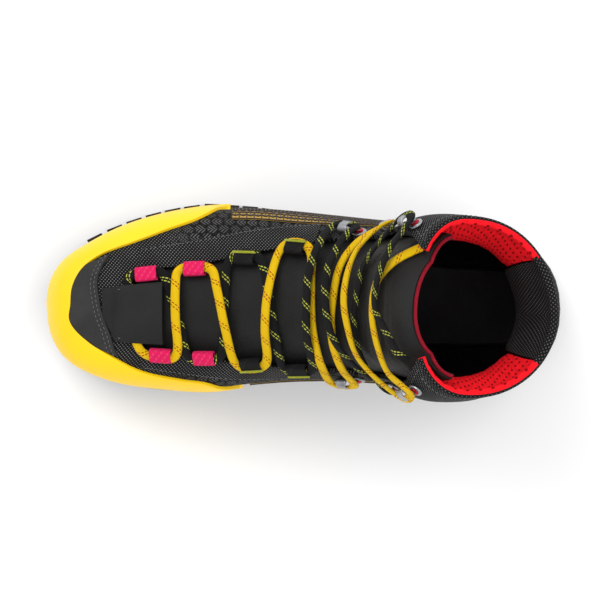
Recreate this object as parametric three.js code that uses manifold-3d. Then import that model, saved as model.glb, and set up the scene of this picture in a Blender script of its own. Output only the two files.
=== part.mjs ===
// A mountaineering boot for the right foot, in millimetres.
// Origin: middle of the heel tread on the ground. +X toe, +Y inner (medial) side, +Z up.
import * as THREE from "three";
import { mergeVertices } from "three/addons/utils/BufferGeometryUtils.js";
import Module from "manifold-3d";

const wasm = await Module();
wasm.setup();

// Overall sizes
const bootLength = 294; // heel to toe along the sole
const forefootWidth = 108.2; // widest part of the sole
const shaftHeight = 190; // ground to the front of the collar

// Sole stack
const lugDepth = 5;
const treadBase = 3;
const midsoleBall = 14; // midsole under the ball of the foot
const midsoleHeel = 26; // midsole under the heel
const toeSpring = 14; // rise of the sole at the toe
const lugOverhang = 1.4; // how far the outer forefoot lugs stand out past the rand
const soleGap = 0.3; // clearance between sole layers

// Upper layers, as depths along the normal of the last: below zero is inside
const shellWall = 2.2; // outer fabric
const layerGap = 0.8; // clearance between layers of the upper
const overlayWall = 1.2; // facings and side bands
const capWall = 2.2;
const randWall = 2.1;
const randGap = 1.1; // the rand bridges the tight curve of the toe
const stiffenerWall = 2;
const liningWall = 1.5;
const footbedWall = 4;
const tongueWall = 3.6;
const collarPadDepth = 8.1; // inner face of the collar padding
const seamAlong = 0.06; // gap between panels, in stations along the boot
const seamAcross = 0.0022; // gap between panels, in turns round the boot

// Lace and its fittings
const laceWidth = 5.2;
const laceThickness = 2;
const loopLength = 12.4; // webbing width, along the lace
const loopWall = 0.9;
const loopTail = 7; // stitched end of the webbing
const laceClearance = 0.6;
const hookWidth = 6.4;
const hookWall = 1;
const hookInner = 2.4; // inside radius of the curl
const plateLength = 9; // riveted plate behind the curl
const rivetRadius = 1.5;
const rivetHead = 2.8;
const rivetClearance = 0.3;

const soleLength = 294; // the station tables are drawn for these three sizes
const soleWidth = 108.2;
const drawnHeight = 190;
const lengthScale = bootLength / soleLength;
const widthScale = forefootWidth / soleWidth;
const ballStack = lugDepth + treadBase + midsoleBall;
const heightScale = (shaftHeight - ballStack) / (drawnHeight - 22);

const mix = (a, b, t) => a + (b - a) * t;
const turns = 2 * Math.PI;

function smooth(from, to, x) {
  const t = THREE.MathUtils.clamp((x - from) / (to - from), 0, 1);
  return t * t * (3 - 2 * t);
}

// A smooth curve through rows of [position, value, value...]
function splineOf(rows) {
  const columns = rows[0].length - 1;
  const first = rows[0][0];
  const last = rows[rows.length - 1][0];
  const curve = new THREE.CubicInterpolant(
    rows.map((row) => row[0]),
    rows.flatMap((row) => row.slice(1)),
    columns,
  );
  return (x) => Array.from(curve.evaluate(THREE.MathUtils.clamp(x, first, last)));
}

// ---- Sole heights and outline ----

function springAt(x) {
  const past = (x / lengthScale - 185) / 79;
  return past > 0 ? toeSpring * past ** 2 : 0;
}

function midsoleAt(x) {
  const station = x / lengthScale;
  return mix(midsoleHeel, midsoleBall, smooth(20, 150, station)) - 4 * smooth(200, 264, station);
}

// Top of the midsole, where the upper begins
const featherAt = (x) => lugDepth + treadBase + midsoleAt(x) + springAt(x);

// The centre line bends to the outer side at the ball of the foot
function swayAt(x) {
  const station = x / lengthScale;
  return (-5.7 * smooth(10, 160, station) + 1.7 * smooth(190, 262, station)) * widthScale;
}

const heelCentre = 5; // where the round heel meets the sides
const heelReach = 35;
const heelHalf = 38;
const ballStation = 170;
const toeReach = 94;
const ballHalf = 54.1;
const heelPower = 2.2;
const toePowers = { lateral: [1.45, 2.3], medial: [2.4, 2.4] };
const sideHalf = splineOf([
  // station, lateral half width, medial half width
  [heelCentre, heelHalf, heelHalf],
  [40, 40, 36],
  [80, 42.5, 35],
  [110, 47, 39],
  [140, 52, 47],
  [ballStation, ballHalf, ballHalf],
]);

// Half width of the sole on one side, grown by a margin all round
function soleHalfAt(x, side, margin = 0) {
  const station = x / lengthScale;
  const grown = margin / widthScale;
  const past = (station - ballStation) / (toeReach + margin / lengthScale);
  const behind = (heelCentre - station) / (heelReach + margin / lengthScale);
  let half = sideHalf(station)[side === "lateral" ? 0 : 1] + grown;
  if (past > 0) {
    const [power, root] = toePowers[side];
    half = (ballHalf + grown) * Math.max(0, 1 - past ** power) ** (1 / root);
  }
  if (behind > 0) {
    half = (heelHalf + grown) * Math.max(0, 1 - behind ** heelPower) ** (1 / heelPower);
  }
  return half * widthScale;
}

// ---- The last: the outer surface of the upper ----
// Each station is a closed section that fans from the toe, over the instep, to the collar.

const lastStations = [
  // top x, top z, sole x, rise, lateral half, medial half, height of widest, crown, floor
  [261.5, 34, 261.5, 2, 0.01, 0.01, 0.5, 2, 2],
  [259.3, 46, 259.3, 0, 12, 16, 0.42, 2.1, 2.4],
  [252.5, 55.5, 252.5, 0, 22.5, 28.5, 0.38, 2.2, 3],
  [240, 62, 240, 0, 31, 37.5, 0.36, 2.2, 3.4],
  [220, 68, 220, 0, 40.5, 45, 0.34, 2.2, 3.6],
  [195, 74.5, 195, 0, 47.5, 49, 0.33, 2.2, 3.6],
  [170, 83, 170, 0, 51.5, 50.5, 0.32, 2.15, 3.6],
  [146, 95, 148, 0, 52, 47.5, 0.33, 2.15, 3.6],
  [126, 107, 120, 0, 51, 44.5, 0.36, 2.2, 3.4],
  [111, 118, 84, 0, 49.5, 42.5, 0.42, 2.3, 3.2],
  [101, 127, 35, 0, 48, 42, 0.48, 2.4, 3],
  [93, 136, -13, 1, 47, 42.5, 0.54, 2.6, 2.8],
  [86.5, 145.5, -26, 8.5, 48, 44, 0.6, 2.9, 2.5],
  [81, 155, -27.5, 35, 50, 46, 0.64, 3.1, 2.15],
  [75.5, 165.5, -20.5, 67, 52.5, 48, 0.66, 3.1, 2.05],
  [70, 176, -15, 95, 53.5, 48, 0.66, 2.9, 2],
  [64, 184, -14.5, 120, 53.5, 46, 0.65, 2.6, 2],
  [59, 190, -19.5, 142, 52.5, 44, 0.63, 2.4, 2],
];
const collarStation = lastStations.length - 1;

function stationAt(u) {
  const spot = THREE.MathUtils.clamp(u, 0, collarStation);
  const index = Math.min(collarStation - 1, Math.floor(spot));
  const t = spot - index;
  const row = (i) => lastStations[THREE.MathUtils.clamp(i, 0, collarStation)];
  const [before, from, to, after] = [row(index - 1), row(index), row(index + 1), row(index + 2)];
  return from.map((value, k) => {
    const slope = to[k] - before[k];
    const bend = 2 * before[k] - 5 * value + 4 * to[k] - after[k];
    const twist = 3 * value - before[k] - 3 * to[k] + after[k];
    return value + 0.5 * (slope * t + bend * t ** 2 + twist * t ** 3);
  });
}

// v is in turns: 0 is the ridge, +0.25 the lateral side, 0.5 the sole or the back
function surfacePoint(u, v) {
  const [topX, topZ, soleX, rise, lateral, medial, waist, crown, floor] = stationAt(u);
  const up = Math.cos(turns * v);
  const out = Math.sin(turns * v);
  const power = mix(floor, crown, 0.5 + 0.5 * up);
  const radius = (Math.abs(up) ** power + Math.abs(out) ** power) ** (-1 / power);
  const height = waist + (up >= 0 ? 1 - waist : waist) * radius * up;
  const soleSpot = soleX * lengthScale;
  const x = mix(soleSpot, topX * lengthScale, height);
  const topHeight = ballStack + (topZ - 22) * heightScale;
  const z = mix(featherAt(soleSpot) + soleGap + rise * heightScale, topHeight, height);
  const half = (out >= 0 ? lateral : medial) * widthScale;
  return new THREE.Vector3(x, swayAt(x) - half * radius * out, z);
}

function surfaceFrame(u, v) {
  const spot = Math.max(u, 0.06);
  const step = 0.02;
  const along = surfacePoint(spot + step, v).sub(surfacePoint(spot - step, v));
  const across = surfacePoint(spot, v + step / 4).sub(surfacePoint(spot, v - step / 4));
  const normal = along.clone().cross(across).normalize();
  const back = along.addScaledVector(normal, -along.dot(normal)).normalize();
  return { normal, back, side: normal.clone().cross(back) };
}

function onLast(u, v, depth) {
  return surfacePoint(u, v).addScaledVector(surfaceFrame(u, v).normal, depth);
}

// ---- Making closed solids ----

function signedVolume(geometry) {
  const spots = geometry.getAttribute("position");
  const corners = [0, 1, 2].map(() => new THREE.Vector3());
  let volume = 0;
  for (let i = 0; i < geometry.index.count; i += 3) {
    corners.forEach((corner, k) => corner.fromBufferAttribute(spots, geometry.index.getX(i + k)));
    volume += corners[0].dot(corners[1].clone().cross(corners[2]));
  }
  return volume;
}

// Moves each vertex of a closed geometry by place(), then merges what meets
function bent(source, place) {
  const shape = source.index ? source : mergeVertices(source);
  const spots = shape.getAttribute("position");
  for (let i = 0; i < spots.count; i++) {
    const to = place(spots.getX(i), spots.getY(i), spots.getZ(i));
    spots.setXYZ(i, to.x, to.y, to.z);
  }
  for (const name of ["normal", "uv"]) {
    shape.deleteAttribute(name);
  }
  const merged = mergeVertices(shape, 1e-3);
  const index = [];
  for (let i = 0; i < merged.index.count; i += 3) {
    const [a, b, c] = [0, 1, 2].map((k) => merged.index.getX(i + k));
    if (a !== b && b !== c && a !== c) {
      index.push(a, b, c);
    }
  }
  merged.setIndex(index);
  if (signedVolume(merged) < 0) {
    merged.setIndex(index.map((_, i) => index[i - (i % 3) + 2 - (i % 3)]));
  }
  return merged;
}

// An outline in x and y, carried along t from 0 to 1
function swept(outline, steps, place, curveSegments = 6) {
  const settings = { depth: 1, steps, bevelEnabled: false, curveSegments };
  return bent(new THREE.ExtrudeGeometry(outline, settings), place);
}

function asSolid(geometry) {
  const merged = bent(geometry, (x, y, z) => new THREE.Vector3(x, y, z));
  return new wasm.Manifold(new wasm.Mesh({
    numProp: 3,
    vertProperties: new Float32Array(merged.getAttribute("position").array),
    triVerts: new Uint32Array(merged.index.array),
  }));
}

function asGeometry(solid) {
  const mesh = solid.getMesh();
  const geometry = new THREE.BufferGeometry();
  geometry.setAttribute("position", new THREE.BufferAttribute(mesh.vertProperties, 3));
  geometry.setIndex(new THREE.BufferAttribute(mesh.triVerts, 1));
  return geometry;
}

const constant = (value) => () => value;
const asFunction = (value) => (typeof value === "function" ? value : constant(value));

// A panel of the upper. Its u edges may depend on v, its v edges on u and its depths on both.
function panel({ u: uEdges, v: vEdges, depth, cells }) {
  const [uStart, uEnd] = uEdges.map(asFunction);
  const [vStart, vEnd] = vEdges.map(asFunction);
  const [inner, outer] = depth.map(asFunction);
  const box = new THREE.BoxGeometry(1, 1, 1, cells[0], cells[1], 1);
  return bent(box, (x, y, z) => {
    let v = mix(vStart(8), vEnd(8), y + 0.5);
    let u = mix(uStart(v), uEnd(v), x + 0.5);
    for (let i = 0; i < 8; i++) {
      v = mix(vStart(u), vEnd(u), y + 0.5);
      u = mix(uStart(v), uEnd(v), x + 0.5);
    }
    return onLast(u, v, mix(inner(u, v), outer(u, v), z + 0.5));
  });
}

const root = new THREE.Group();
root.name = "mountaineering_boot";

const finishes = {
  rubber: { color: 0x1b1917, roughness: 0.85, metalness: 0 },
  foam: { color: 0x26262a, roughness: 0.8, metalness: 0 },
  wedge: { color: 0x303036, roughness: 0.5, metalness: 0 },
  board: { color: 0xb9a98a, roughness: 0.9, metalness: 0 },
  footbed: { color: 0x55585c, roughness: 0.95, metalness: 0 },
  rand: { color: 0xffdd00, roughness: 0.45, metalness: 0 },
  cap: { color: 0x2d2d32, roughness: 0.55, metalness: 0 },
  fabric: { color: 0x1d1d20, roughness: 0.9, metalness: 0 },
  lattice: { color: 0x3a2a16, roughness: 0.6, metalness: 0 },
  smooth: { color: 0x1e1c1e, roughness: 0.5, metalness: 0 },
  stiffener: { color: 0x3c3c40, roughness: 0.6, metalness: 0 },
  lining: { color: 0xe10f1e, roughness: 0.95, metalness: 0 },
  piping: { color: 0xa51432, roughness: 0.6, metalness: 0 },
  webbing: { color: 0xf01e64, roughness: 0.8, metalness: 0 },
  darkWebbing: { color: 0x1c1a1c, roughness: 0.8, metalness: 0 },
  yellowLace: { color: 0xffcd14, roughness: 0.8, metalness: 0 },
  blackLace: { color: 0x1a1a1a, roughness: 0.8, metalness: 0 },
  steel: { color: 0x8c8e92, roughness: 0.35, metalness: 1 },
  redRivet: { color: 0xb4102a, roughness: 0.35, metalness: 0.8 },
};

function add(name, geometry, finish) {
  const mesh = new THREE.Mesh(geometry, new THREE.MeshStandardMaterial(finishes[finish]));
  mesh.name = name;
  root.add(mesh);
  return mesh;
}

// ---- Sole unit ----

const heelEnd = (heelCentre - heelReach) * lengthScale;
const toeEnd = (ballStation + toeReach) * lengthScale;
const slabInset = 0.6; // the round ends stop just short of a point

function slab(from, to, bottom, top, margin, cells) {
  return bent(new THREE.BoxGeometry(1, 1, 1, cells[0], cells[1], 1), (x, y, z) => {
    const spot = mix(from, to, 0.5 - 0.5 * Math.cos(Math.PI * (x + 0.5)));
    const grown = margin(spot);
    const outer = -soleHalfAt(spot, "lateral", grown);
    const inner = soleHalfAt(spot, "medial", grown);
    return new THREE.Vector3(spot, swayAt(spot) + mix(outer, inner, y + 0.5), z < 0 ? bottom(spot) : top(spot));
  });
}

function lug(x, y, length, width, turn = 0) {
  const block = new THREE.BoxGeometry(length, width, lugDepth + treadBase / 2);
  block.rotateZ(turn);
  block.translate(x, y, (lugDepth + treadBase / 2) / 2);
  return asSolid(block);
}

const lugPitch = 10.8;
const lugSide = 9;
const edgeLugReach = 17;

// Lugs along both edges, turned to follow the outline
function edgeLugs(from, to) {
  const lugs = [];
  for (const side of ["lateral", "medial"]) {
    const sign = side === "lateral" ? -1 : 1;
    const overhang = side === "lateral" && from > ballStation / 2 ? lugOverhang : 0;
    for (let x = from; x <= to; x += lugPitch * lengthScale) {
      const half = soleHalfAt(x, side);
      const slope = (soleHalfAt(x + 1, side) - soleHalfAt(x - 1, side)) / 2;
      const y = swayAt(x) + sign * (half + overhang - edgeLugReach / 2);
      lugs.push(lug(x, y, lugSide, edgeLugReach, sign * Math.atan(slope)));
    }
  }
  return lugs;
}

const heelLugSize = 24;
const ballLugSize = 20;
const heelTreadX = 0;
const ballTreadX = 150 * lengthScale;

function outsole(from, to, lugs) {
  const bottom = constant(lugDepth);
  const top = constant(lugDepth + treadBase);
  const base = asSolid(slab(from, to, bottom, top, constant(0), [18, 2]));
  const joined = lugs.reduce((solid, block) => solid.add(block), base);
  return bent(asGeometry(joined), (x, y, z) => new THREE.Vector3(x, y, z + springAt(x)));
}

const archFront = 96 * lengthScale;
const archBack = 62 * lengthScale;
const centreLugs = [178, 206, 232].map((x) => lug(x * lengthScale, swayAt(x), 13, 13, Math.PI / 4));
const innerLugs = [114, 132, 192, 219].map((x) => lug(x * lengthScale, swayAt(x), 6, 30));
const heelLugs = [
  lug(heelTreadX, 0, heelLugSize, heelLugSize),
  lug(heelEnd + lugSide / 2 + 1, 0, lugSide, 17),
  lug(36 * lengthScale, swayAt(36), 16, 16, Math.PI / 4),
];
const ballLug = lug(ballTreadX, swayAt(ballTreadX), ballLugSize, ballLugSize);
const frontLugs = edgeLugs(archFront + lugSide, 238 * lengthScale);
const toeLug = lug(toeEnd - lugSide, swayAt(toeEnd) + 4, lugSide, 24);
add(
  "outsole_forefoot",
  outsole(archFront, toeEnd - slabInset, [...frontLugs, ...centreLugs, ...innerLugs, ballLug, toeLug]),
  "rubber",
);
add(
  "outsole_heel",
  outsole(heelEnd + slabInset, archBack, [...edgeLugs(-8 * lengthScale, 50 * lengthScale), ...heelLugs]),
  "rubber",
);

// The crampon shelf wraps the heel: a ledge below a groove that takes the heel bail
const shelfInner = -5;
const shelfGroove = -2.4;
const shelfLip = 1;
const shelfLedge = 2.4;
const shelfLedgeHeight = 22;
const shelfGrooveHeight = 27;
const shelfTop = 32.4;
const shelfFront = 42 * lengthScale;

function midsoleMargin(x) {
  return mix(shelfInner - soleGap, -0.5, smooth(shelfFront + 14, shelfFront + 26, x));
}
const treadTop = lugDepth + treadBase + soleGap;
add(
  "midsole",
  slab(
    heelEnd + slabInset - shelfInner + soleGap,
    toeEnd - slabInset - 1,
    (x) => treadTop + springAt(x),
    (x) => featherAt(x) - soleGap,
    midsoleMargin,
    [30, 3],
  ),
  "foam",
);

function heelLoop(margin, height, t) {
  const place = mix(-1.5, 1.5, t);
  const sign = Math.sign(place) || 1;
  const straight = Math.max(0, (Math.abs(place) - 1) / 0.5);
  if (straight > 0) {
    const x = mix(heelCentre * lengthScale, shelfFront, straight);
    const half = soleHalfAt(x, sign < 0 ? "lateral" : "medial", margin);
    return new THREE.Vector3(x, swayAt(x) + sign * half, height);
  }
  const angle = (place * Math.PI) / 2;
  const reach = (heelReach * lengthScale + margin) * Math.cos(angle) ** (2 / heelPower);
  const half = (heelHalf * widthScale + margin) * Math.abs(Math.sin(angle)) ** (2 / heelPower);
  return new THREE.Vector3(heelCentre * lengthScale - reach, sign * half, height);
}
const shelfOutline = new THREE.Shape([
  new THREE.Vector2(shelfInner, treadTop),
  new THREE.Vector2(shelfLip, treadTop),
  new THREE.Vector2(shelfLedge, treadTop + 4),
  new THREE.Vector2(shelfLedge, shelfLedgeHeight),
  new THREE.Vector2(shelfGroove, shelfLedgeHeight),
  new THREE.Vector2(shelfGroove, shelfGrooveHeight),
  new THREE.Vector2(shelfLip, shelfGrooveHeight + 1),
  new THREE.Vector2(shelfLip, shelfTop),
  new THREE.Vector2(shelfInner, shelfTop),
]);
add("crampon_shelf", swept(shelfOutline, 24, heelLoop), "wedge");

// ---- Lines on the upper ----

// Edges of the lacing throat, in turns from the ridge
const throatEdges = splineOf([
  [4.4, 0.066, 0.093],
  [6, 0.072, 0.108],
  [7, 0.088, 0.128],
  [8.3, 0.108, 0.143],
  [9.8, 0.132, 0.158],
  [11.5, 0.15, 0.16],
  [13.5, 0.15, 0.155],
  [15.5, 0.13, 0.12],
  [17, 0.105, 0.085],
]);
const throatLateral = (u) => throatEdges(u)[0];
const throatMedial = (u) => throatEdges(u)[1];
const throatStart = 4.4;

// The ankle flexes between these two lines
const backShare = (v) => (1 - Math.cos(turns * v)) / 2;
const flexLow = (v) => mix(10.1, 12.8, backShare(v));
const flexHigh = (v) => mix(11.9, 13.3, backShare(v));
const rimStation = 16.85;

// The tongue stands proud in the middle and tucks under both edges
const tuckLow = -shellWall - layerGap;
const tongueLap = 0.02;
const tuckAt = (u) => mix(tuckLow, -collarPadDepth - layerGap, smooth(10.2, 14.5, u));
function tongueFace(u, v) {
  const edge = v > 0 ? throatLateral(u) : throatMedial(u);
  return mix(-0.8, tuckAt(u), smooth(0.45, 0.95, Math.abs(v) / edge));
}

const stiffenerOuter = -shellWall - layerGap;
const stiffenerInner = stiffenerOuter - stiffenerWall;
const liningOuter = stiffenerInner - layerGap;
const liningInner = liningOuter - liningWall;

// ---- Foot part of the upper ----

// A closed sock from the toe back to a station; the inner layers start where they have room
function sock(uFrom, uTo, inner, outer, cells) {
  const profile = [];
  for (let i = 0; i <= cells[0]; i++) {
    profile.push(new THREE.Vector2(2, 1 - i / cells[0]));
  }
  for (let i = 0; i <= cells[0]; i++) {
    profile.push(new THREE.Vector2(1, i / cells[0]));
  }
  profile.push(profile[0].clone());
  return bent(new THREE.LatheGeometry(profile, cells[1]), (x, y, z) => {
    const v = Math.atan2(x, z) / turns;
    const depth = Math.hypot(x, z) > 1.5 ? outer : inner;
    if (y < 1e-6) {
      const nose = surfacePoint(uFrom, 0.25).lerp(surfacePoint(uFrom, 0.75), 0.5);
      nose.x += uFrom > 0 ? depth - outer : depth;
      return nose;
    }
    return onLast(mix(uFrom, uTo, y ** 1.3), v, depth);
  });
}

const bottomSeam = 0.5 - seamAcross;
add("toe_box", sock(0, throatStart - seamAlong, -shellWall, 0, [8, 24]), "fabric");
for (const [side, sign, edge] of [["lateral", 1, throatLateral], ["medial", -1, throatMedial]]) {
  const quarter = {
    u: [throatStart, (v) => flexLow(v) - seamAlong],
    v: [(u) => sign * edge(u), sign * bottomSeam],
    depth: [-shellWall, 0],
    cells: [17, 12],
  };
  add(`quarter_${side}`, panel(quarter), "fabric");
}

const liningLap = 0.036;
const liningSlit = 0.004;
const opened = (u, edge) => mix(liningSlit, edge(u) + liningLap, smooth(3.7, 4.3, u));
const footLining = {
  u: [1.8, (v) => flexLow(v) - seamAlong],
  v: [(u) => opened(u, throatLateral), (u) => 1 - opened(u, throatMedial)],
  depth: [liningInner, liningOuter],
  cells: [14, 18],
};
add("foot_lining", panel(footLining), "lining");

const puffReach = 3.7;
const toePuff = {
  u: [1.1, puffReach],
  v: [-0.33, 0.33],
  depth: [stiffenerInner, stiffenerOuter],
  cells: [5, 14],
};
add("toe_puff", panel(toePuff), "stiffener");

const boardEdge = 0.4;
const lastingBoard = {
  u: [2.1, 11],
  v: [boardEdge, 1 - boardEdge],
  depth: [stiffenerInner, stiffenerOuter],
  cells: [14, 6],
};
add("lasting_board", panel(lastingBoard), "board");
const footbed = {
  u: [2.2, 11],
  v: [boardEdge + 0.01, 1 - boardEdge - 0.01],
  depth: [liningInner - layerGap - footbedWall, liningInner - layerGap],
  cells: [12, 6],
};
add("footbed", panel(footbed), "footbed");

// How far a point is from the back seam, 0 at the seam and 1 a quarter turn away
const fromBack = (v) => Math.abs(0.5 - v) / 0.25;
const heelStiffener = {
  u: [(v) => mix(11.16, 9.2, smooth(0.48, 0.8, fromBack(v))), (v) => flexLow(v) - 2 * seamAlong],
  v: [0.27, 0.73],
  depth: [stiffenerInner, stiffenerOuter],
  cells: [7, 14],
};
add("heel_stiffener", panel(heelStiffener), "stiffener");
// Toe rand and toe cap are drawn round the toe: u is the distance from it, v the direction
function chartPoint(u, v) {
  return new THREE.Vector2(u * Math.cos(turns * v), u * Math.sin(turns * v));
}

// Below the widest line the outer face of the rand hangs straight down to the sole
const randFoot = 0.36; // in turns
const soleTop = (x) => featherAt(x) + soleGap;
function randPoint(u, v, depth) {
  const point = onLast(u, v, depth);
  if (Math.cos(turns * v) < 0) {
    const widest = onLast(u, v > 0 ? 0.25 : -0.25, depth);
    const share = smooth(randGap, randGap + randWall, depth);
    const height = mix(surfacePoint(u, v).z, soleTop(widest.x), smooth(0.25, randFoot, Math.abs(v)));
    point.set(mix(point.x, widest.x, share), mix(point.y, widest.y, share), mix(point.z, height, share));
  }
  return point;
}

// Points round the toe, from the lateral end to the medial end
const randTop = [
  [6.44, 0.235],
  [6.08, 0.189],
  [5.68, 0.159],
  [5, 0.141],
  [4.32, 0.129],
  [3.5, 0.125],
  [2.94, 0.108],
  [2.5, 0.06],
  [2.4, 0],
  [2.36, -0.05],
  [3.1, -0.092],
  [3.84, -0.118],
  [4.66, -0.148],
  [5.34, -0.158],
  [6.02, -0.172],
  [6.74, -0.225],
].map(([u, v]) => chartPoint(u, v));
const randBottom = [
  [6.5, 0.36],
  [5.6, 0.362],
  [4.6, 0.364],
  [3.7, 0.366],
  [2.9, 0.37],
  [2, 0.375],
  [1.2, 0.38],
  [0.5, 0.36],
  [0.2, 0.3],
  [0.2, -0.3],
  [0.5, -0.36],
  [1.2, -0.38],
  [2, -0.375],
  [2.9, -0.37],
  [3.8, -0.366],
  [4.8, -0.364],
  [5.8, -0.362],
  [6.8, -0.36],
].map(([u, v]) => chartPoint(u, v));

function chartBand(low, high, depth, place, cells) {
  const [lowCurve, highCurve] = [low, high].map((points) => new THREE.SplineCurve(points));
  const box = new THREE.BoxGeometry(1, 1, 1, cells[0], cells[1], 1);
  return bent(box, (x, y, z) => {
    const spot = lowCurve.getPoint(x + 0.5).lerp(highCurve.getPoint(x + 0.5), y + 0.5);
    return place(spot.length(), spot.angle() / turns, mix(depth[0], depth[1], z + 0.5));
  });
}
const signedTurn = (v) => (v > 0.5 ? v - 1 : v);
const placeRand = (u, v, depth) => randPoint(u, signedTurn(v), depth);
add(
  "toe_rand",
  chartBand(randBottom, randTop, [randGap, randGap + randWall], placeRand, [28, 5]),
  "rand",
);

const capRear = [
  [3.74, 0.116],
  [3.4, 0.064],
  [3.44, 0.007],
  [3.7, -0.06],
  [3.94, -0.112],
];
const capFront = [
  [3.1, 0.104],
  [2.72, 0.062],
  [2.58, 0],
  [2.62, -0.052],
  [3.34, -0.09],
];
add(
  "toe_cap",
  chartBand(
    capFront.map(([u, v]) => chartPoint(u, v)),
    capRear.map(([u, v]) => chartPoint(u, v)),
    [layerGap, layerGap + capWall],
    onLast,
    [12, 4],
  ),
  "cap",
);

// A black rand carries on round the heel, thick at its foot, where it meets the sole
const rearRandWall = 1.6;
const rearRandMargin = -1.5;
function soleEdge(point, margin) {
  const centre = heelCentre * lengthScale;
  if (point.x > centre) {
    const side = point.y < swayAt(point.x) ? "lateral" : "medial";
    const half = soleHalfAt(point.x, side, margin);
    return new THREE.Vector3(point.x, swayAt(point.x) + (side === "lateral" ? -half : half), point.z);
  }
  const across = point.y / (heelHalf * widthScale + margin);
  const behind = (centre - point.x) / (heelReach * lengthScale + margin);
  const radius = (Math.abs(across) ** heelPower + behind ** heelPower) ** (1 / heelPower);
  return new THREE.Vector3(centre + (point.x - centre) / radius, point.y / radius, point.z);
}
const rearRandLow = [[6.85, 0.36], [8, 0.362], [9.3, 0.364], [10.4, 0.374], [11.2, 0.41], [11.5, 0.46]];
const rearRandTop = [[7.05, 0.318], [8.2, 0.316], [9.6, 0.312], [10.9, 0.328], [12, 0.4], [12.35, 0.46]];
function roundHeel(points, middle) {
  const mirrored = [...points].reverse().map(([u, v]) => [u + 0.1, 1 - v]);
  return new THREE.SplineCurve([...points, middle, ...mirrored].map(([u, v]) => new THREE.Vector2(u, v)));
}
function rearRand(low, high) {
  return bent(new THREE.BoxGeometry(1, 1, 1, 30, 4, 1), (x, y, z) => {
    const { x: u, y: v } = low.getPoint(x + 0.5).lerp(high.getPoint(x + 0.5), y + 0.5);
    if (z < 0) {
      return onLast(u, v, layerGap);
    }
    const wall = onLast(u, v, layerGap + rearRandWall);
    const foot = soleEdge(surfacePoint(u, v), rearRandMargin);
    if (foot.clone().sub(wall).dot(surfaceFrame(u, v).normal.setZ(0)) < 0) {
      foot.copy(wall);
    }
    foot.setZ(mix(soleTop(foot.x), foot.z, y + 0.5));
    return wall.lerp(foot, 1 - smooth(0, 0.7, y + 0.5));
  });
}
add("rear_rand", rearRand(roundHeel(rearRandLow, [11.55, 0.5]), roundHeel(rearRandTop, [12.4, 0.5])), "rubber");

// Side bands and lace facings
const overlayDepth = [layerGap, layerGap + overlayWall];
const sideBands = {
  lateral: { start: 6.7, sign: 1, top: (u) => mix(0.162, 0.19, smooth(8, 11.5, u)) },
  medial: { start: 7, sign: -1, top: (u) => mix(0.22, 0.235, smooth(8, 11.5, u)) },
};
const bandBottom = (u) => mix(0.302, 0.285, smooth(8.5, 9.8, u));
for (const [side, band] of Object.entries(sideBands)) {
  const lattice = {
    u: [band.start, (v) => flexLow(v) - 3 * seamAlong],
    v: [(u) => band.sign * band.top(u), (u) => band.sign * bandBottom(u)],
    depth: overlayDepth,
    cells: [7, 4],
  };
  add(`lattice_${side}`, panel(lattice), "lattice");
}
const facingInset = 0.018; // leaves room for the loops at the throat edge
const facingWidth = 0.028;
const facingEnd = 8.9;
for (const [side, sign, edge] of [["lateral", 1, throatLateral], ["medial", -1, throatMedial]]) {
  const facing = {
    u: [throatStart + 0.1, facingEnd],
    v: [(u) => sign * (edge(u) + facingInset), (u) => sign * (edge(u) + facingInset + facingWidth)],
    depth: overlayDepth,
    cells: [9, 2],
  };
  add(`facing_${side}`, panel(facing), "smooth");
}

// ---- Tongue ----

const flapLine = 14.9;
const flapLift = 0.7; // the flap's lower edge rises at its sides, to leave room to hinge
const tongueTop = 16.75;
function tonguePart(from, to, cells) {
  return panel({
    u: [from, to],
    v: [(u) => -throatMedial(u) - tongueLap, (u) => throatLateral(u) + tongueLap],
    depth: [(u, v) => tongueFace(u, v) - tongueWall, tongueFace],
    cells,
  });
}
add("tongue_lower", tonguePart(throatStart + seamAlong, (v) => flexLow(v) - seamAlong, [8, 12]), "smooth");
add(
  "tongue_ankle",
  tonguePart((v) => flexLow(v) + seamAlong, (v) => flexHigh(v) - seamAlong, [3, 12]),
  "smooth",
);
add("tongue_upper", tonguePart((v) => flexHigh(v) + seamAlong, flapLine, [4, 12]), "smooth");

const flapSide = 0.2;
function flapFace(u, v) {
  return mix(-0.8, -collarPadDepth - layerGap, smooth(0.45, 0.95, Math.abs(v) / throatMedial(u)));
}
const flapStart = (v) => flapLine + seamAlong + flapLift * smooth(0.04, 0.16, Math.abs(v));
add(
  "tongue_flap",
  panel({
    u: [flapStart, tongueTop],
    v: [-flapSide, flapSide],
    depth: [(u, v) => flapFace(u, v) - tongueWall, flapFace],
    cells: [3, 14],
  }),
  "smooth",
);

// Round cord sewn on the tongue's top edge
const pipingRadius = 1.4;
function pipingPoint(x, y, t) {
  const v = mix(-flapSide, flapSide, t);
  const depth = flapFace(tongueTop, v) - tongueWall / 2;
  const { normal, back } = surfaceFrame(tongueTop, v);
  const centre = onLast(tongueTop, v, depth).addScaledVector(back, pipingRadius + soleGap);
  return centre.addScaledVector(normal, x).addScaledVector(back, y);
}
const round = (radius) => new THREE.Shape().absarc(0, 0, radius, 0, turns);
add("tongue_piping", swept(round(pipingRadius), 14, pipingPoint, 4), "piping");

// ---- Ankle and cuff ----

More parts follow.
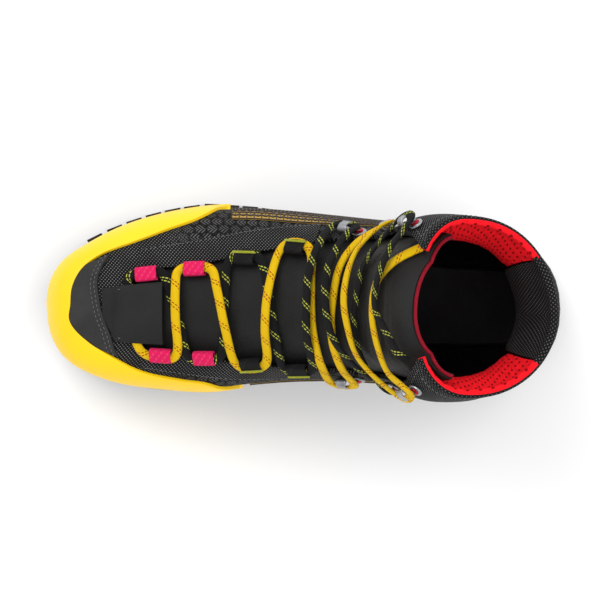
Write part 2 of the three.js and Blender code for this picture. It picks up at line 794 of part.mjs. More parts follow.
const flexStart = (v) => flexLow(v) + seamAlong;
const flexEnd = (v) => flexHigh(v) - seamAlong;
const cuffStart = (v) => flexHigh(v) + seamAlong;
for (const [side, sign, edge] of [["lateral", 1, throatLateral], ["medial", -1, throatMedial]]) {
  const across = [(u) => sign * edge(u), sign * bottomSeam];
  const shell = [-shellWall, 0];
  add(`ankle_panel_${side}`, panel({ u: [flexStart, flexEnd], v: across, depth: shell, cells: [3, 12] }), "fabric");
  add(`cuff_shell_${side}`, panel({ u: [cuffStart, rimStation], v: across, depth: shell, cells: [6, 12] }), "fabric");
}

const padDepth = [(u) => tuckAt(u) + layerGap, tuckLow];
const padSeam = 0.4;
const pads = {
  lateral: [throatLateral, constant(padSeam - seamAcross)],
  rear: [constant(padSeam + seamAcross), constant(1 - padSeam - seamAcross)],
  medial: [constant(1 - padSeam + seamAcross), (u) => 1 - throatMedial(u)],
};
for (const [place, across] of Object.entries(pads)) {
  const pad = { u: [cuffStart, rimStation], v: across, depth: padDepth, cells: [5, 8] };
  add(`collar_pad_${place}`, panel(pad), place === "rear" ? "fabric" : "lining");
}

// The binding caps the shell and the padding round the rim
const bindingRise = 1.6;
const bindingOutline = new THREE.Shape().absellipse(
  -collarPadDepth / 2, 0, collarPadDepth / 2, bindingRise, 0, turns,
);
function bindingPoint(x, y, t) {
  const v = mix(throatLateral(rimStation), 1 - throatMedial(rimStation), t);
  const { back } = surfaceFrame(rimStation, v);
  return onLast(rimStation, v, x).addScaledVector(back, y + bindingRise + soleGap);
}
add("collar_binding", swept(bindingOutline, 24, bindingPoint, 4), "piping");

// ---- Lace loops and hooks ----

function seat(mesh, u, v, depth) {
  const { normal, back, side } = surfaceFrame(u, v);
  mesh.quaternion.setFromRotationMatrix(new THREE.Matrix4().makeBasis(side, normal, back));
  mesh.position.copy(onLast(u, v, depth));
}

// Webbing loop: a flat sleeve round the lace with a stitched tail on the outer side
const loopHalf = laceWidth / 2 + laceClearance;
const loopRise = laceThickness / 2 + laceClearance;
const laceSeat = 3.1; // middle of the lace above the upper
function webbingLoop(out) {
  const width = loopHalf + loopWall;
  const height = loopRise + loopWall;
  const cut = 1.2;
  const tailTop = -0.05;
  const outer = [
    [-width, -height + cut],
    [-width + cut, -height],
    [width - cut, -height],
    [width, tailTop - loopWall],
    [width + loopTail, tailTop - loopWall],
    [width + loopTail, tailTop],
    [width, tailTop],
    [width, height - cut],
    [width - cut, height],
    [-width + cut, height],
    [-width, height - cut],
  ];
  const inner = [[-loopHalf, -loopRise], [loopHalf, -loopRise], [loopHalf, loopRise], [-loopHalf, loopRise]];
  const turned = (points) => {
    const spots = points.map(([x, y]) => new THREE.Vector2(out * x, y));
    return out < 0 ? spots.reverse() : spots;
  };
  const shape = new THREE.Shape(turned(outer));
  shape.holes.push(new THREE.Path(turned(inner)));
  const sleeve = new THREE.ExtrudeGeometry(shape, { depth: loopLength, bevelEnabled: false });
  sleeve.translate(0, 0, -loopLength / 2);
  return bent(sleeve, (x, y, z) => new THREE.Vector3(x, y, z));
}

// Each loop's front end and rear end along its side
const loops = {
  lateral: [[4.38, 4.88, 0.053], [5.44, 6.02, 0.056], [6.62, 7.22, 0.074], [7.96, 8.72, 0.097]],
  medial: [[4.64, 5.24, 0.099], [5.66, 6.22, 0.1], [6.76, 7.38, 0.119], [8, 8.66, 0.136]],
};
for (const [side, places] of Object.entries(loops)) {
  const sign = side === "lateral" ? 1 : -1;
  places.forEach(([front, rear, v], i) => {
    const mesh = add(`lace_loop_${side}_${i + 1}`, webbingLoop(sign), i < 2 ? "webbing" : "darkWebbing");
    seat(mesh, (front + rear) / 2, sign * v, laceSeat);
  });
}

// Hook: a curl that takes the lace, open to the outer side, and a riveted plate behind it
const curlTop = 2 * hookInner + 2 * hookWall;
const curlCentre = -1.8;
const curlTip = 2.4;
const plateHalf = 3.6;
const rivetSpot = hookWidth / 2 + plateLength / 2 + 0.4;
function laceHook(out) {
  const middle = curlTop / 2;
  const shape = new THREE.Shape();
  shape.moveTo(plateHalf, 0);
  shape.lineTo(curlCentre, 0);
  shape.absarc(curlCentre, middle, middle, -Math.PI / 2, -1.5 * Math.PI, true);
  shape.lineTo(curlTip, curlTop);
  shape.lineTo(curlTip, curlTop - hookWall);
  shape.lineTo(curlCentre, curlTop - hookWall);
  shape.absarc(curlCentre, middle, hookInner, Math.PI / 2, 1.5 * Math.PI, false);
  shape.lineTo(plateHalf, hookWall);
  const curl = new THREE.ExtrudeGeometry(shape, { depth: hookWidth, bevelEnabled: false, curveSegments: 5 });
  curl.translate(0, 0, -hookWidth / 2);
  const plateShape = new THREE.Shape().absellipse(0, rivetSpot, plateHalf, plateLength / 2, 0, turns);
  const plate = new THREE.ExtrudeGeometry(plateShape, { depth: hookWall, bevelEnabled: false, curveSegments: 6 });
  plate.rotateX(Math.PI / 2);
  plate.translate(0, hookWall, 0);
  const bridge = new THREE.BoxGeometry(2 * plateHalf - 1, hookWall, 3);
  bridge.translate(0, hookWall / 2, hookWidth / 2);
  const bore = new THREE.CylinderGeometry(rivetRadius + rivetClearance, rivetRadius + rivetClearance, 4, 8);
  bore.translate(0, 0, rivetSpot);
  const solid = asSolid(curl).add(asSolid(plate)).add(asSolid(bridge)).subtract(asSolid(bore));
  return bent(asGeometry(solid), (x, y, z) => new THREE.Vector3(out * x, y, z));
}

const rivetRise = 0.7;
function hookRivet() {
  const seatHeight = hookWall + rivetClearance;
  const profile = [
    new THREE.Vector2(0, 0),
    new THREE.Vector2(rivetRadius, 0),
    new THREE.Vector2(rivetRadius, seatHeight),
    new THREE.Vector2(rivetHead, seatHeight),
    new THREE.Vector2(rivetHead * 0.8, seatHeight + rivetRise * 0.7),
    new THREE.Vector2(0, seatHeight + rivetRise),
  ];
  const rivet = new THREE.LatheGeometry(profile, 8);
  rivet.translate(0, 0, rivetSpot);
  return bent(rivet, (x, y, z) => new THREE.Vector3(x, y, z));
}

const hooks = {
  lateral: [[9.75, 0.148], [11.75, 0.158], [15, 0.15]],
  medial: [[9.4, 0.183], [11.75, 0.165], [15, 0.148]],
};
const hookSeat = 0.6;
for (const [side, places] of Object.entries(hooks)) {
  const sign = side === "lateral" ? 1 : -1;
  places.forEach(([u, v], i) => {
    seat(add(`lace_hook_${side}_${i + 1}`, laceHook(sign), "steel"), u, sign * v, hookSeat);
    seat(add(`hook_rivet_${side}_${i + 1}`, hookRivet(), "redRivet"), u, sign * v, hookSeat);
  });
}

// ---- Laces ----

const laceUnder = 1.8;
const crossingGap = 0.3077 * laceWidth; // a wide lace tilts more where it crosses another
const laceOver = laceUnder + laceThickness + crossingGap;
const turnRoom = laceWidth / 2; // a lace runs on this far past a fitting before it turns
const hookLace = hookSeat + hookWall + hookInner + 0.35;
const laceBreak = 0.4; // gap between two lengths of one lace

// A point of the route: station, turn and height, moved by millimetres along the boot
const onRoute = (u, v, height, shift = 0) => ({ u, v, height, shift });
function passThrough(u, v, height, reach) {
  return [onRoute(u, v, height, -reach), onRoute(u, v, height, reach)];
}
const loopPass = (side, i) => {
  const [front, rear, v] = loops[side][i];
  return passThrough((front + rear) / 2, side === "lateral" ? v : -v, laceSeat, loopLength / 2 + turnRoom + 0.2);
};
const hookPass = (side, i) => {
  const [u, v] = hooks[side][i];
  return passThrough(u, side === "lateral" ? v : -v, hookLace, hookWidth / 2 + turnRoom + 1);
};
// Clear of the curl, behind it, where the lace turns back to the middle
const hookExit = (side, i) => {
  const [u, v] = hooks[side][i];
  const inward = v - 0.022;
  return onRoute(u, side === "lateral" ? inward : -inward, hookLace + 0.6, hookWidth / 2 + turnRoom + 1.2);
};

function placeOnRoute({ u, v, height, shift }) {
  const { normal, back } = surfaceFrame(u, v);
  return { spot: onLast(u, v, height).addScaledVector(back, shift), normal };
}

// A flat lace along its whole route, made in separate lengths that meet at the breaks
function laceRun(name, finish, lengths) {
  const placed = Object.values(lengths).flat().map(placeOnRoute);
  const tension = 0.3;
  const path = new THREE.CatmullRomCurve3(placed.map((p) => p.spot), false, "catmullrom", tension);
  const facing = new THREE.CatmullRomCurve3(placed.map((p) => p.normal), false, "catmullrom", tension);
  const a = laceWidth / 2;
  const b = laceThickness / 2;
  const corners = [[a, -b / 2], [a, b / 2], [a / 2, b], [-a / 2, b]];
  const section = new THREE.Shape(
    [...corners, ...corners.map(([x, y]) => [-x, -y])].map(([x, y]) => new THREE.Vector2(x, y)),
  );
  const gap = laceBreak / 2 / (hookWidth + 7.2);
  let first = 0;
  for (const [part, points] of Object.entries(lengths)) {
    const last = first + points.length - 1;
    const knots = points.map((_, i) => first + i);
    if (first > 0) {
      knots.unshift(first - 0.5 + gap);
    }
    if (last < placed.length - 1) {
      knots.push(last + 0.5 - gap);
    }
    first = last + 1;
    const place = (x, y, along) => {
      const t = knots[Math.round(along * (knots.length - 1))] / (placed.length - 1);
      const tangent = path.getTangent(t);
      const side = facing.getPoint(t).cross(tangent).normalize();
      const up = tangent.clone().cross(side);
      return path.getPoint(t).addScaledVector(side, x).addScaledVector(up, y);
    };
    add(`lace_${name}_${part}`, swept(section, knots.length - 1, place), finish);
  }
}

// Where two laces cross over the tongue; "over" lies on top of "under"
const over = (u, v) => onRoute(u, v, laceOver);
const under = (u, v) => onRoute(u, v, laceUnder);

laceRun("yellow", "yellowLace", {
  lower: [
    under(4.3, -0.02),
    under(4.34, -0.065),
    ...loopPass("medial", 0),
    over(5.32, -0.03),
    over(5.32, 0.02),
    ...loopPass("lateral", 1),
    over(6.3, 0.02),
    over(6.5, -0.05),
    ...loopPass("medial", 2),
    over(7.5, -0.05),
    over(7.6, 0.02),
    ...loopPass("lateral", 3),
    under(8.95, 0.04),
    under(8.98, -0.01),
    under(9.02, -0.06),
    onRoute(9.1, -0.12, 2.8),
    hookPass("medial", 0)[0],
  ],
  ankle: [
    hookPass("medial", 0)[1],
    onRoute(9.85, -0.13, 3.2),
    under(9.9, -0.08),
    under(10.05, -0.04),
    under(10.15, 0),
    under(10.35, 0.07),
    onRoute(10.7, 0.12, 2.6),
    ...hookPass("lateral", 1),
    hookExit("lateral", 1),
    over(11.7, 0.09),
    over(11.4, 0.03),
    over(11.65, -0.03),
    over(12.3, -0.09),
    hookPass("medial", 2)[0],
  ],
  upper: [
    hookPass("medial", 2)[1],
    hookExit("medial", 2),
    onRoute(14.4, -0.1, 2.4),
    under(13.8, -0.05),
    under(13.5, 0),
    under(13.9, 0.045),
    onRoute(15, 0.07, 0.6),
    onRoute(15.8, 0.088, -3.4),
  ],
});
laceRun("black", "blackLace", {
  lower: [
    under(4.3, 0.006),
    under(4.2, 0.028),
    ...loopPass("lateral", 0),
    under(5.2, 0),
    under(5.4, -0.05),
    ...loopPass("medial", 1),
    under(6.4, -0.05),
    under(6.42, 0.02),
    ...loopPass("lateral", 2),
    under(7.5, 0.02),
    under(7.7, -0.06),
    ...loopPass("medial", 3),
    over(8.9, -0.06),
    over(8.95, 0),
    over(9, 0.05),
    onRoute(9.2, 0.1, laceOver),
    hookPass("lateral", 0)[0],
  ],
  ankle: [
    hookPass("lateral", 0)[1],
    onRoute(10.05, 0.12, 4.4),
    over(9.95, 0.06),
    over(10.05, 0),
    over(10.35, -0.06),
    onRoute(10.7, -0.122, 3),
    ...hookPass("medial", 1),
    hookExit("medial", 1),
    under(11.85, -0.09),
    under(11.75, -0.03),
    under(12.1, 0.03),
    under(12.5, 0.08),
    hookPass("lateral", 2)[0],
  ],
  upper: [
    hookPass("lateral", 2)[1],
    onRoute(15.05, 0.095, 4.4),
    over(14.4, 0.04),
    over(14.4, 0),
    onRoute(14.9, -0.03, 3.4),
    onRoute(15.4, -0.07, 0.8),
    onRoute(15.8, -0.092, -2.4),
  ],
});

// The cover over the lowest crossing
const coverEdges = { medial: -0.078, lateral: 0.035 };
const coverWall = 1.2;
const coverFront = (v) => mix(3.56, 3.86, smooth(0.02, 0.08, -v));
const coverRise = (u) => mix(layerGap, laceUnder + laceThickness / 2 + layerGap, smooth(3.75, 4.1, u));
const laceCover = {
  u: [coverFront, 5],
  v: [coverEdges.medial, coverEdges.lateral],
  depth: [coverRise, (u) => coverRise(u) + coverWall],
  cells: [8, 6],
};
add("lace_cover", panel(laceCover), "smooth");

export default root;
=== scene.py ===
import math

import bmesh
import bpy
import numpy as np
from mathutils import Matrix, Vector


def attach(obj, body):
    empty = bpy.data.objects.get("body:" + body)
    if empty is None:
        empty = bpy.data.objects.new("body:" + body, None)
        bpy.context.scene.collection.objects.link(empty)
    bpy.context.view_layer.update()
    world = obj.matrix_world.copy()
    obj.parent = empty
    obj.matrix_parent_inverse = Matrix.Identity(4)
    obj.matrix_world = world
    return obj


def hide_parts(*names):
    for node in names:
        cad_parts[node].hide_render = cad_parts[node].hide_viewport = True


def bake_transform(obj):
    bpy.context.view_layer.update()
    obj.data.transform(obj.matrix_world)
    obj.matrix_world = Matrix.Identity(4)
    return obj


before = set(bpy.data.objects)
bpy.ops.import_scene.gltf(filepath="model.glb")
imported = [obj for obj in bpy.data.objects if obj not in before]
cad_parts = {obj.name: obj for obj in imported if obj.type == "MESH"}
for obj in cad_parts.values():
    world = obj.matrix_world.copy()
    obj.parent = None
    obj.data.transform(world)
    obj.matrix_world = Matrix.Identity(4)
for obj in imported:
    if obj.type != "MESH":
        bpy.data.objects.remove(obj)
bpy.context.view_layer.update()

mm = 0.001
turn = 2 * math.pi


def mix(a, b, t):
    return a + (b - a) * t


def smooth(start, end, x):
    t = np.clip((np.asarray(x, float) - start) / (end - start), 0, 1)
    return t * t * (3 - 2 * t)


# The smooth curve from start to end that also heeds the points on either side
def curveThrough(before, start, end, after, t):
    bend = 2 * before - 5 * start + 4 * end - after
    twist = 3 * start - before - 3 * end + after
    return start + 0.5 * ((end - before) * t + bend * t ** 2 + twist * t ** 3)


# Distance to an oval of half width one: round at power 2, squarer above it
def ovalReach(angle, power):
    return (np.abs(np.cos(angle)) ** power + np.abs(np.sin(angle)) ** power) ** (-1 / power)


def lengthsAlong(line):
    return np.concatenate([[0], np.cumsum(np.linalg.norm(np.diff(line, axis=0), axis=1))])


# Sole outline and heights, in millimetres
sole = {
    "lugDepth": 5,
    "treadBase": 3,
    "midsoleBall": 14,
    "midsoleHeel": 26,
    "toeSpring": 14,
    "heelCentre": 5,
    "heelReach": 35,
    "heelHalf": 38,
    "heelPower": 2.2,
    "ballStation": 170,
    "toeReach": 94,
    "ballHalf": 54.1,
    "springStart": 185,
    "springLength": 79,
    "gap": 0.3,  # between the midsole and the upper
}
toePowers = {"lateral": (1.45, 2.3), "medial": (2.4, 2.4)}


def throughRows(rows):
    rows = np.array(rows, float)
    spots, values = rows[:, 0], rows[:, 1:]
    slopes = np.gradient(values, spots, axis=0)

    def evaluate(x, column):
        x = np.clip(np.asarray(x, float), spots[0], spots[-1])
        i = np.clip(np.searchsorted(spots, x) - 1, 0, len(spots) - 2)
        width = spots[i + 1] - spots[i]
        t = (x - spots[i]) / width
        a, b = values[i, column], values[i + 1, column]
        c, d = slopes[i, column] * width, slopes[i + 1, column] * width
        return a + t * c + t * t * (3 * (b - a) - 2 * c - d) + t ** 3 * (2 * (a - b) + c + d)

    return evaluate


sideHalf = throughRows([
    (5, 38, 38), (40, 40, 36), (80, 42.5, 35), (110, 47, 39), (140, 52, 47), (170, 54.1, 54.1),
])


def springAt(x):
    past = np.maximum(0, (np.asarray(x, float) - sole["springStart"]) / sole["springLength"])
    return sole["toeSpring"] * past ** 2


def featherAt(x):
    midsole = mix(sole["midsoleHeel"], sole["midsoleBall"], smooth(20, 150, x)) - 4 * smooth(200, 264, x)
    return sole["lugDepth"] + sole["treadBase"] + midsole + springAt(x)


def swayAt(x):
    return -5.7 * smooth(10, 160, x) + 1.7 * smooth(190, 262, x)


def soleHalfAt(x, side, margin=0.0):
    x = np.asarray(x, float)
    power, root = toePowers[side]
    half = sideHalf(x, 0 if side == "lateral" else 1) + margin
    past = np.clip((x - sole["ballStation"]) / (sole["toeReach"] + margin), 0, 1)
    toe = (sole["ballHalf"] + margin) * (1 - past ** power) ** (1 / root)
    behind = np.clip((sole["heelCentre"] - x) / (sole["heelReach"] + margin), 0, 1)
    heelPower = sole["heelPower"]
    heel = (sole["heelHalf"] + margin) * (1 - behind ** heelPower) ** (1 / heelPower)
    return np.where(past > 0, toe, np.where(behind > 0, heel, half))


# The last is the outer surface of the upper.
# Closed sections fan from the toe, over the instep, to the collar. v is in turns: 0 is the ridge,
# 0.25 the lateral side, 0.5 the sole or the back. Depths are along the normal, below zero inside.

lastStations = np.array([
    # top x, top z, sole x, rise, lateral half, medial half, height of widest, crown, floor
    (261.5, 34, 261.5, 2, 0.01, 0.01, 0.5, 2, 2),
    (259.3, 46, 259.3, 0, 12, 16, 0.42, 2.1, 2.4),
    (252.5, 55.5, 252.5, 0, 22.5, 28.5, 0.38, 2.2, 3),
    (240, 62, 240, 0, 31, 37.5, 0.36, 2.2, 3.4),
    (220, 68, 220, 0, 40.5, 45, 0.34, 2.2, 3.6),
    (195, 74.5, 195, 0, 47.5, 49, 0.33, 2.2, 3.6),
    (170, 83, 170, 0, 51.5, 50.5, 0.32, 2.15, 3.6),
    (146, 95, 148, 0, 52, 47.5, 0.33, 2.15, 3.6),
    (126, 107, 120, 0, 51, 44.5, 0.36, 2.2, 3.4),
    (111, 118, 84, 0, 49.5, 42.5, 0.42, 2.3, 3.2),
    (101, 127, 35, 0, 48, 42, 0.48, 2.4, 3),
    (93, 136, -13, 1, 47, 42.5, 0.54, 2.6, 2.8),
    (86.5, 145.5, -26, 8.5, 48, 44, 0.6, 2.9, 2.5),
    (81, 155, -27.5, 35, 50, 46, 0.64, 3.1, 2.15),
    (75.5, 165.5, -20.5, 67, 52.5, 48, 0.66, 3.1, 2.05),
    (70, 176, -15, 95, 53.5, 48, 0.66, 2.9, 2),
    (64, 184, -14.5, 120, 53.5, 46, 0.65, 2.6, 2),
    (59, 190, -19.5, 142, 52.5, 44, 0.63, 2.4, 2),
], float)
collar = len(lastStations) - 1


def stationAt(u):
    spot = np.clip(u, 0, collar)
    index = np.minimum(collar - 1, np.floor(spot)).astype(int)
    t = (spot - index)[:, None]
    before, start, end, after = [lastStations[np.clip(index + k, 0, collar)] for k in (-1, 0, 1, 2)]
    return curveThrough(before, start, end, after, t).T


def surfacePoint(u, v):
    topX, topZ, soleX, rise, lateral, medial, waist, crown, floor = stationAt(u)
    up, out = np.cos(turn * v), np.sin(turn * v)
    power = mix(floor, crown, 0.5 + 0.5 * up)
    radius = ovalReach(turn * v, power)
    height = waist + np.where(up >= 0, 1 - waist, waist) * radius * up
    x = mix(soleX, topX, height)
    z = mix(featherAt(soleX) + sole["gap"] + rise, topZ, height)
    half = np.where(out >= 0, lateral, medial)
    return np.stack([x, swayAt(x) - half * radius * out, z], 1)


def unit(vectors):
    return vectors / np.maximum(np.linalg.norm(vectors, axis=1, keepdims=True), 1e-9)


def surfaceFrame(u, v):
    spot = np.maximum(u, 0.06)
    step = 0.02
    along = surfacePoint(spot + step, v) - surfacePoint(spot - step, v)
    across = surfacePoint(spot, v + step / 4) - surfacePoint(spot, v - step / 4)
    normal = unit(np.cross(along, across))
    back = unit(along - normal * np.sum(along * normal, 1, keepdims=True))
    return normal, back, np.cross(normal, back)


def arrays(*values):
    return [np.array(a, float) for a in np.broadcast_arrays(*[np.atleast_1d(v) for v in values])]


def onLast(u, v, depth):
    u, v, depth = arrays(u, v, depth)
    return (surfacePoint(u, v) + surfaceFrame(u, v)[0] * depth[:, None]) * mm


# Cloth coordinates: metres along and round the upper, so that a weave keeps its size
clothCells = (170, 256)


def clothTables():
    stations = np.linspace(0, collar, clothCells[0] + 1)
    turns = np.linspace(-0.5, 0.5, clothCells[1] + 1)
    u, v = np.meshgrid(stations, turns, indexing="ij")
    points = (surfacePoint(u.ravel(), v.ravel()) * mm).reshape(*u.shape, 3)
    stepAlong = np.linalg.norm(np.diff(points, axis=0), axis=2)
    stepRound = np.linalg.norm(np.diff(points, axis=1), axis=2)
    along = np.vstack([np.zeros(v.shape[1]), np.cumsum(stepAlong, 0)])
    around = np.hstack([np.zeros((u.shape[0], 1)), np.cumsum(stepRound, 1)])
    ridge = clothCells[1] // 2
    return along, around - around[:, ridge:ridge + 1]


clothAlong, clothAround = clothTables()


def fromTable(table, u, v):
    a, b = [np.clip(spot * cells, 0, cells - 0.001) for spot, cells in zip((u / collar, v + 0.5), clothCells)]
    i, j = a.astype(int), b.astype(int)
    s, t = a - i, b - j
    low = mix(table[i, j], table[i, j + 1], t)
    return mix(low, mix(table[i + 1, j], table[i + 1, j + 1], t), s)


def throughPoints(points, t):
    points = np.array(points, float)
    last = len(points) - 1
    spot = np.clip(np.asarray(t, float), 0, 1) * last
    i = np.minimum(last - 1, np.floor(spot)).astype(int)
    t = (spot - i)[:, None]
    before, start, end, after = [points[np.clip(i + k, 0, last)] for k in (-1, 0, 1, 2)]
    before = np.where((i == 0)[:, None], 2 * start - end, before)
    after = np.where((i == last - 1)[:, None], 2 * end - start, after)
    return curveThrough(before, start, end, after, t)


def readLayer(vertices, layer):
    return np.array([vertex[layer] for vertex in vertices])


def setPlaces(vertices, places):
    for vertex, place in zip(vertices, places):
        vertex.co = place


def unitGrid(columns, rows):
    bm = bmesh.new()
    bmesh.ops.create_grid(bm, x_segments=columns, y_segments=rows, size=0.5)
    return bm


def flatSpots(bm):
    return np.array([vertex.co for vertex in bm.verts]) + 0.5


def only(kind, made):
    return [item for item in made if isinstance(item, kind)]


def extruded(bm, faces):
    grown = bmesh.ops.extrude_face_region(bm, geom=faces)["geom"]
    return only(bmesh.types.BMVert, grown), only(bmesh.types.BMFace, grown)


def mended(bm):
    bmesh.ops.recalc_face_normals(bm, faces=bm.faces[:])
    return bm


def cornerEdges(bm, angle=0.9):
    return [e for e in bm.edges if len(e.link_faces) == 2 and e.calc_face_angle(0) > angle]


def roundOff(bm, edges, width, segments=2, clamp=True):
    bmesh.ops.bevel(bm, geom=edges, offset=width * mm, offset_type="OFFSET", segments=segments, profile=0.5,
                    affect="EDGES", material=-1, clamp_overlap=clamp)


# The cloth map of a mesh still being made: one spot for each vertex, in metres
def mapCloth(bm, spots):
    layer = bm.loops.layers.uv.new("cloth")
    places = dict(zip(bm.verts, spots))
    for face in bm.faces:
        for corner in face.loops:
            corner[layer].uv = places[corner.vert]


# A sheet on the last with an inner and an outer face; a depth is a number or a function of the spot
def closedPanel(cells, spotAt, inner, outer, place=onLast, rim=0.5, rimSegments=2, closeTop=False):
    bm = unitGrid(*cells)
    spotNames = ("station", "turns", "px", "py")
    layers = {name: bm.verts.layers.float.new(name) for name in (*spotNames, "outer")}
    x, y = flatSpots(bm)[:, :2].T
    for vertex, values in zip(bm.verts, zip(*arrays(*spotAt(x, y)), x, y)):
        for name, value in zip(spotNames, values):
            vertex[layers[name]] = value
    inside = list(bm.verts)
    outside = extruded(bm, bm.faces[:])[0]
    for vertices, depth, isOuter in ((inside, inner, 0.0), (outside, outer, 1.0)):
        u, v, x, y = [readLayer(vertices, layers[name]) for name in spotNames]
        height = depth(u, v, x, y) if callable(depth) else depth
        for vertex in vertices:
            vertex[layers["outer"]] = isOuter
        spots = place(u, v, height) if place is onLast else place(u, v, height, isOuter, x, y)
        setPlaces(vertices, spots)
    if closeTop:
        closed = [f for f in bm.faces if all(
            abs(p[layers["turns"]] % 1) < 1e-6 or p[layers["station"]] < 1e-6 for p in f.verts
        ) and len({p[layers["outer"]] for p in f.verts}) > 1]
        bmesh.ops.delete(bm, geom=closed, context="FACES_ONLY")
        bmesh.ops.remove_doubles(bm, verts=bm.verts[:], dist=0.04 * mm)
    mended(bm)
    if rim:
        edges = [e for e in cornerEdges(bm) if all(p[layers["outer"]] > 0.5 for p in e.verts)]
        roundOff(bm, edges, rim, rimSegments)
    return bm


def stationsAndTurns(mesh):
    values = [np.zeros(len(mesh.vertices), np.float32) for _ in range(2)]
    for name, found in zip(("station", "turns"), values):
        mesh.attributes[name].data.foreach_get("value", found)
    return values


def addClothMap(mesh):
    u, v = stationsAndTurns(mesh)
    corners = np.zeros(len(mesh.loops), int)
    mesh.loops.foreach_get("vertex_index", corners)
    totals = np.zeros(len(mesh.polygons), int)
    mesh.polygons.foreach_get("loop_total", totals)
    starts = np.concatenate([[0], np.cumsum(totals)[:-1]])
    cornerTurn = v[corners].astype(float)
    middle = np.repeat(np.add.reduceat(cornerTurn, starts) / totals, totals)
    cornerTurn = np.where(middle > 0.5, cornerTurn - 1, cornerTurn)
    station = u[corners].astype(float)
    flat = np.stack([fromTable(table, station, cornerTurn) for table in (clothAlong, clothAround)], 1)
    layer = mesh.uv_layers.new(name="cloth")
    layer.data.foreach_set("uv", flat.astype(np.float32).ravel())


def addObject(name, data):
    made = bpy.data.objects.new(name, data)
    bpy.context.scene.collection.objects.link(made)
    return made


def toObject(name, bm, materials, sharp=40, cloth=False):
    mesh = bpy.data.meshes.new(name)
    bm.to_mesh(mesh)
    bm.free()
    if cloth:
        addClothMap(mesh)
    for spare in ("outer", "px", "py"):
        if spare in mesh.attributes:
            mesh.attributes.remove(mesh.attributes[spare])
    mesh.polygons.foreach_set("use_smooth", [True] * len(mesh.polygons))
    mesh.set_sharp_from_angle(angle=math.radians(sharp))
    for material in materials if isinstance(materials, list) else [materials]:
        mesh.materials.append(material)
    return addObject(name, mesh)


def settle(piece, body, nodes=()):
    if body == "ankle":
        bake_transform(piece)
    elif body == "flap":
        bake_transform(piece)
    else:
        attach(piece, body)
    if nodes:
        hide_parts(*nodes)


def finish(name, **sockets):
    material = bpy.data.materials.new(name)
    material.use_nodes = True
    shader = material.node_tree.nodes["Principled BSDF"]
    for socket, value in sockets.items():
        shader.inputs[socket.replace("_", " ")].default_value = value
    return material


def node(material, kind, inputs=None, **settings):
    made = material.node_tree.nodes.new("ShaderNode" + kind)
    for setting, value in settings.items():
        setattr(made, setting, value)
    for socket, value in (inputs or {}).items():
        if isinstance(value, bpy.types.NodeSocket):
            material.node_tree.links.new(value, made.inputs[socket])
        else:
            made.inputs[socket].default_value = value
    return made


def calc(material, operation, a, b=None):
    values = {0: a} if b is None else {0: a, 1: b}
    return node(material, "Math", values, operation=operation).outputs[0]


def ramped(material, value, low, high, to=(0.0, 1.0)):
    inputs = {"Value": value, "From Min": low, "From Max": high, "To Min": to[0], "To Max": to[1]}
    return node(material, "MapRange", inputs, interpolation_type="SMOOTHSTEP").outputs[0]


def blended(material, factor, a, b):
    return node(material, "Mix", {0: factor, 6: a, 7: b}, data_type="RGBA").outputs[2]


def noise(material, coordinates, scale, detail=3.0, roughness=0.5):
    inputs = {"Vector": coordinates, "Scale": scale, "Detail": detail, "Roughness": roughness}
    return node(material, "TexNoise", inputs).outputs["Fac"]


def objectSpace(material):
    return node(material, "TexCoord").outputs["Object"]


def clothSpace(material):
    flat = node(material, "UVMap", uv_map="cloth").outputs["UV"]
    parts = node(material, "SeparateXYZ", {0: flat})
    return flat, parts.outputs[0], parts.outputs[1]


def wave(material, value, pitch, phase=0.0):
    angle = node(material, "Math", {0: value, 1: turn / pitch, 2: phase}, operation="MULTIPLY_ADD")
    return calc(material, "SINE", angle.outputs[0])


def connect(material, colour, roughness, height, distance):
    tree = material.node_tree
    shader = tree.nodes["Principled BSDF"]
    bump = node(material, "Bump", {"Height": height, "Distance": distance, "Strength": 1.0})
    tree.links.new(colour, shader.inputs["Base Color"])
    tree.links.new(bump.outputs[0], shader.inputs["Normal"])
    if roughness is not None:
        tree.links.new(roughness, shader.inputs["Roughness"])
    return material


def crossedWaves(material, a, b, pitch):
    return calc(material, "MULTIPLY", wave(material, a, pitch), wave(material, b, pitch))


def grey(value, warm=0.0):
    return (value * (1 + warm), value, value * (1 - warm), 1.0)


def shaded(colour, factor):
    return tuple(min(1, part * factor) for part in colour[:3]) + (1.0,)


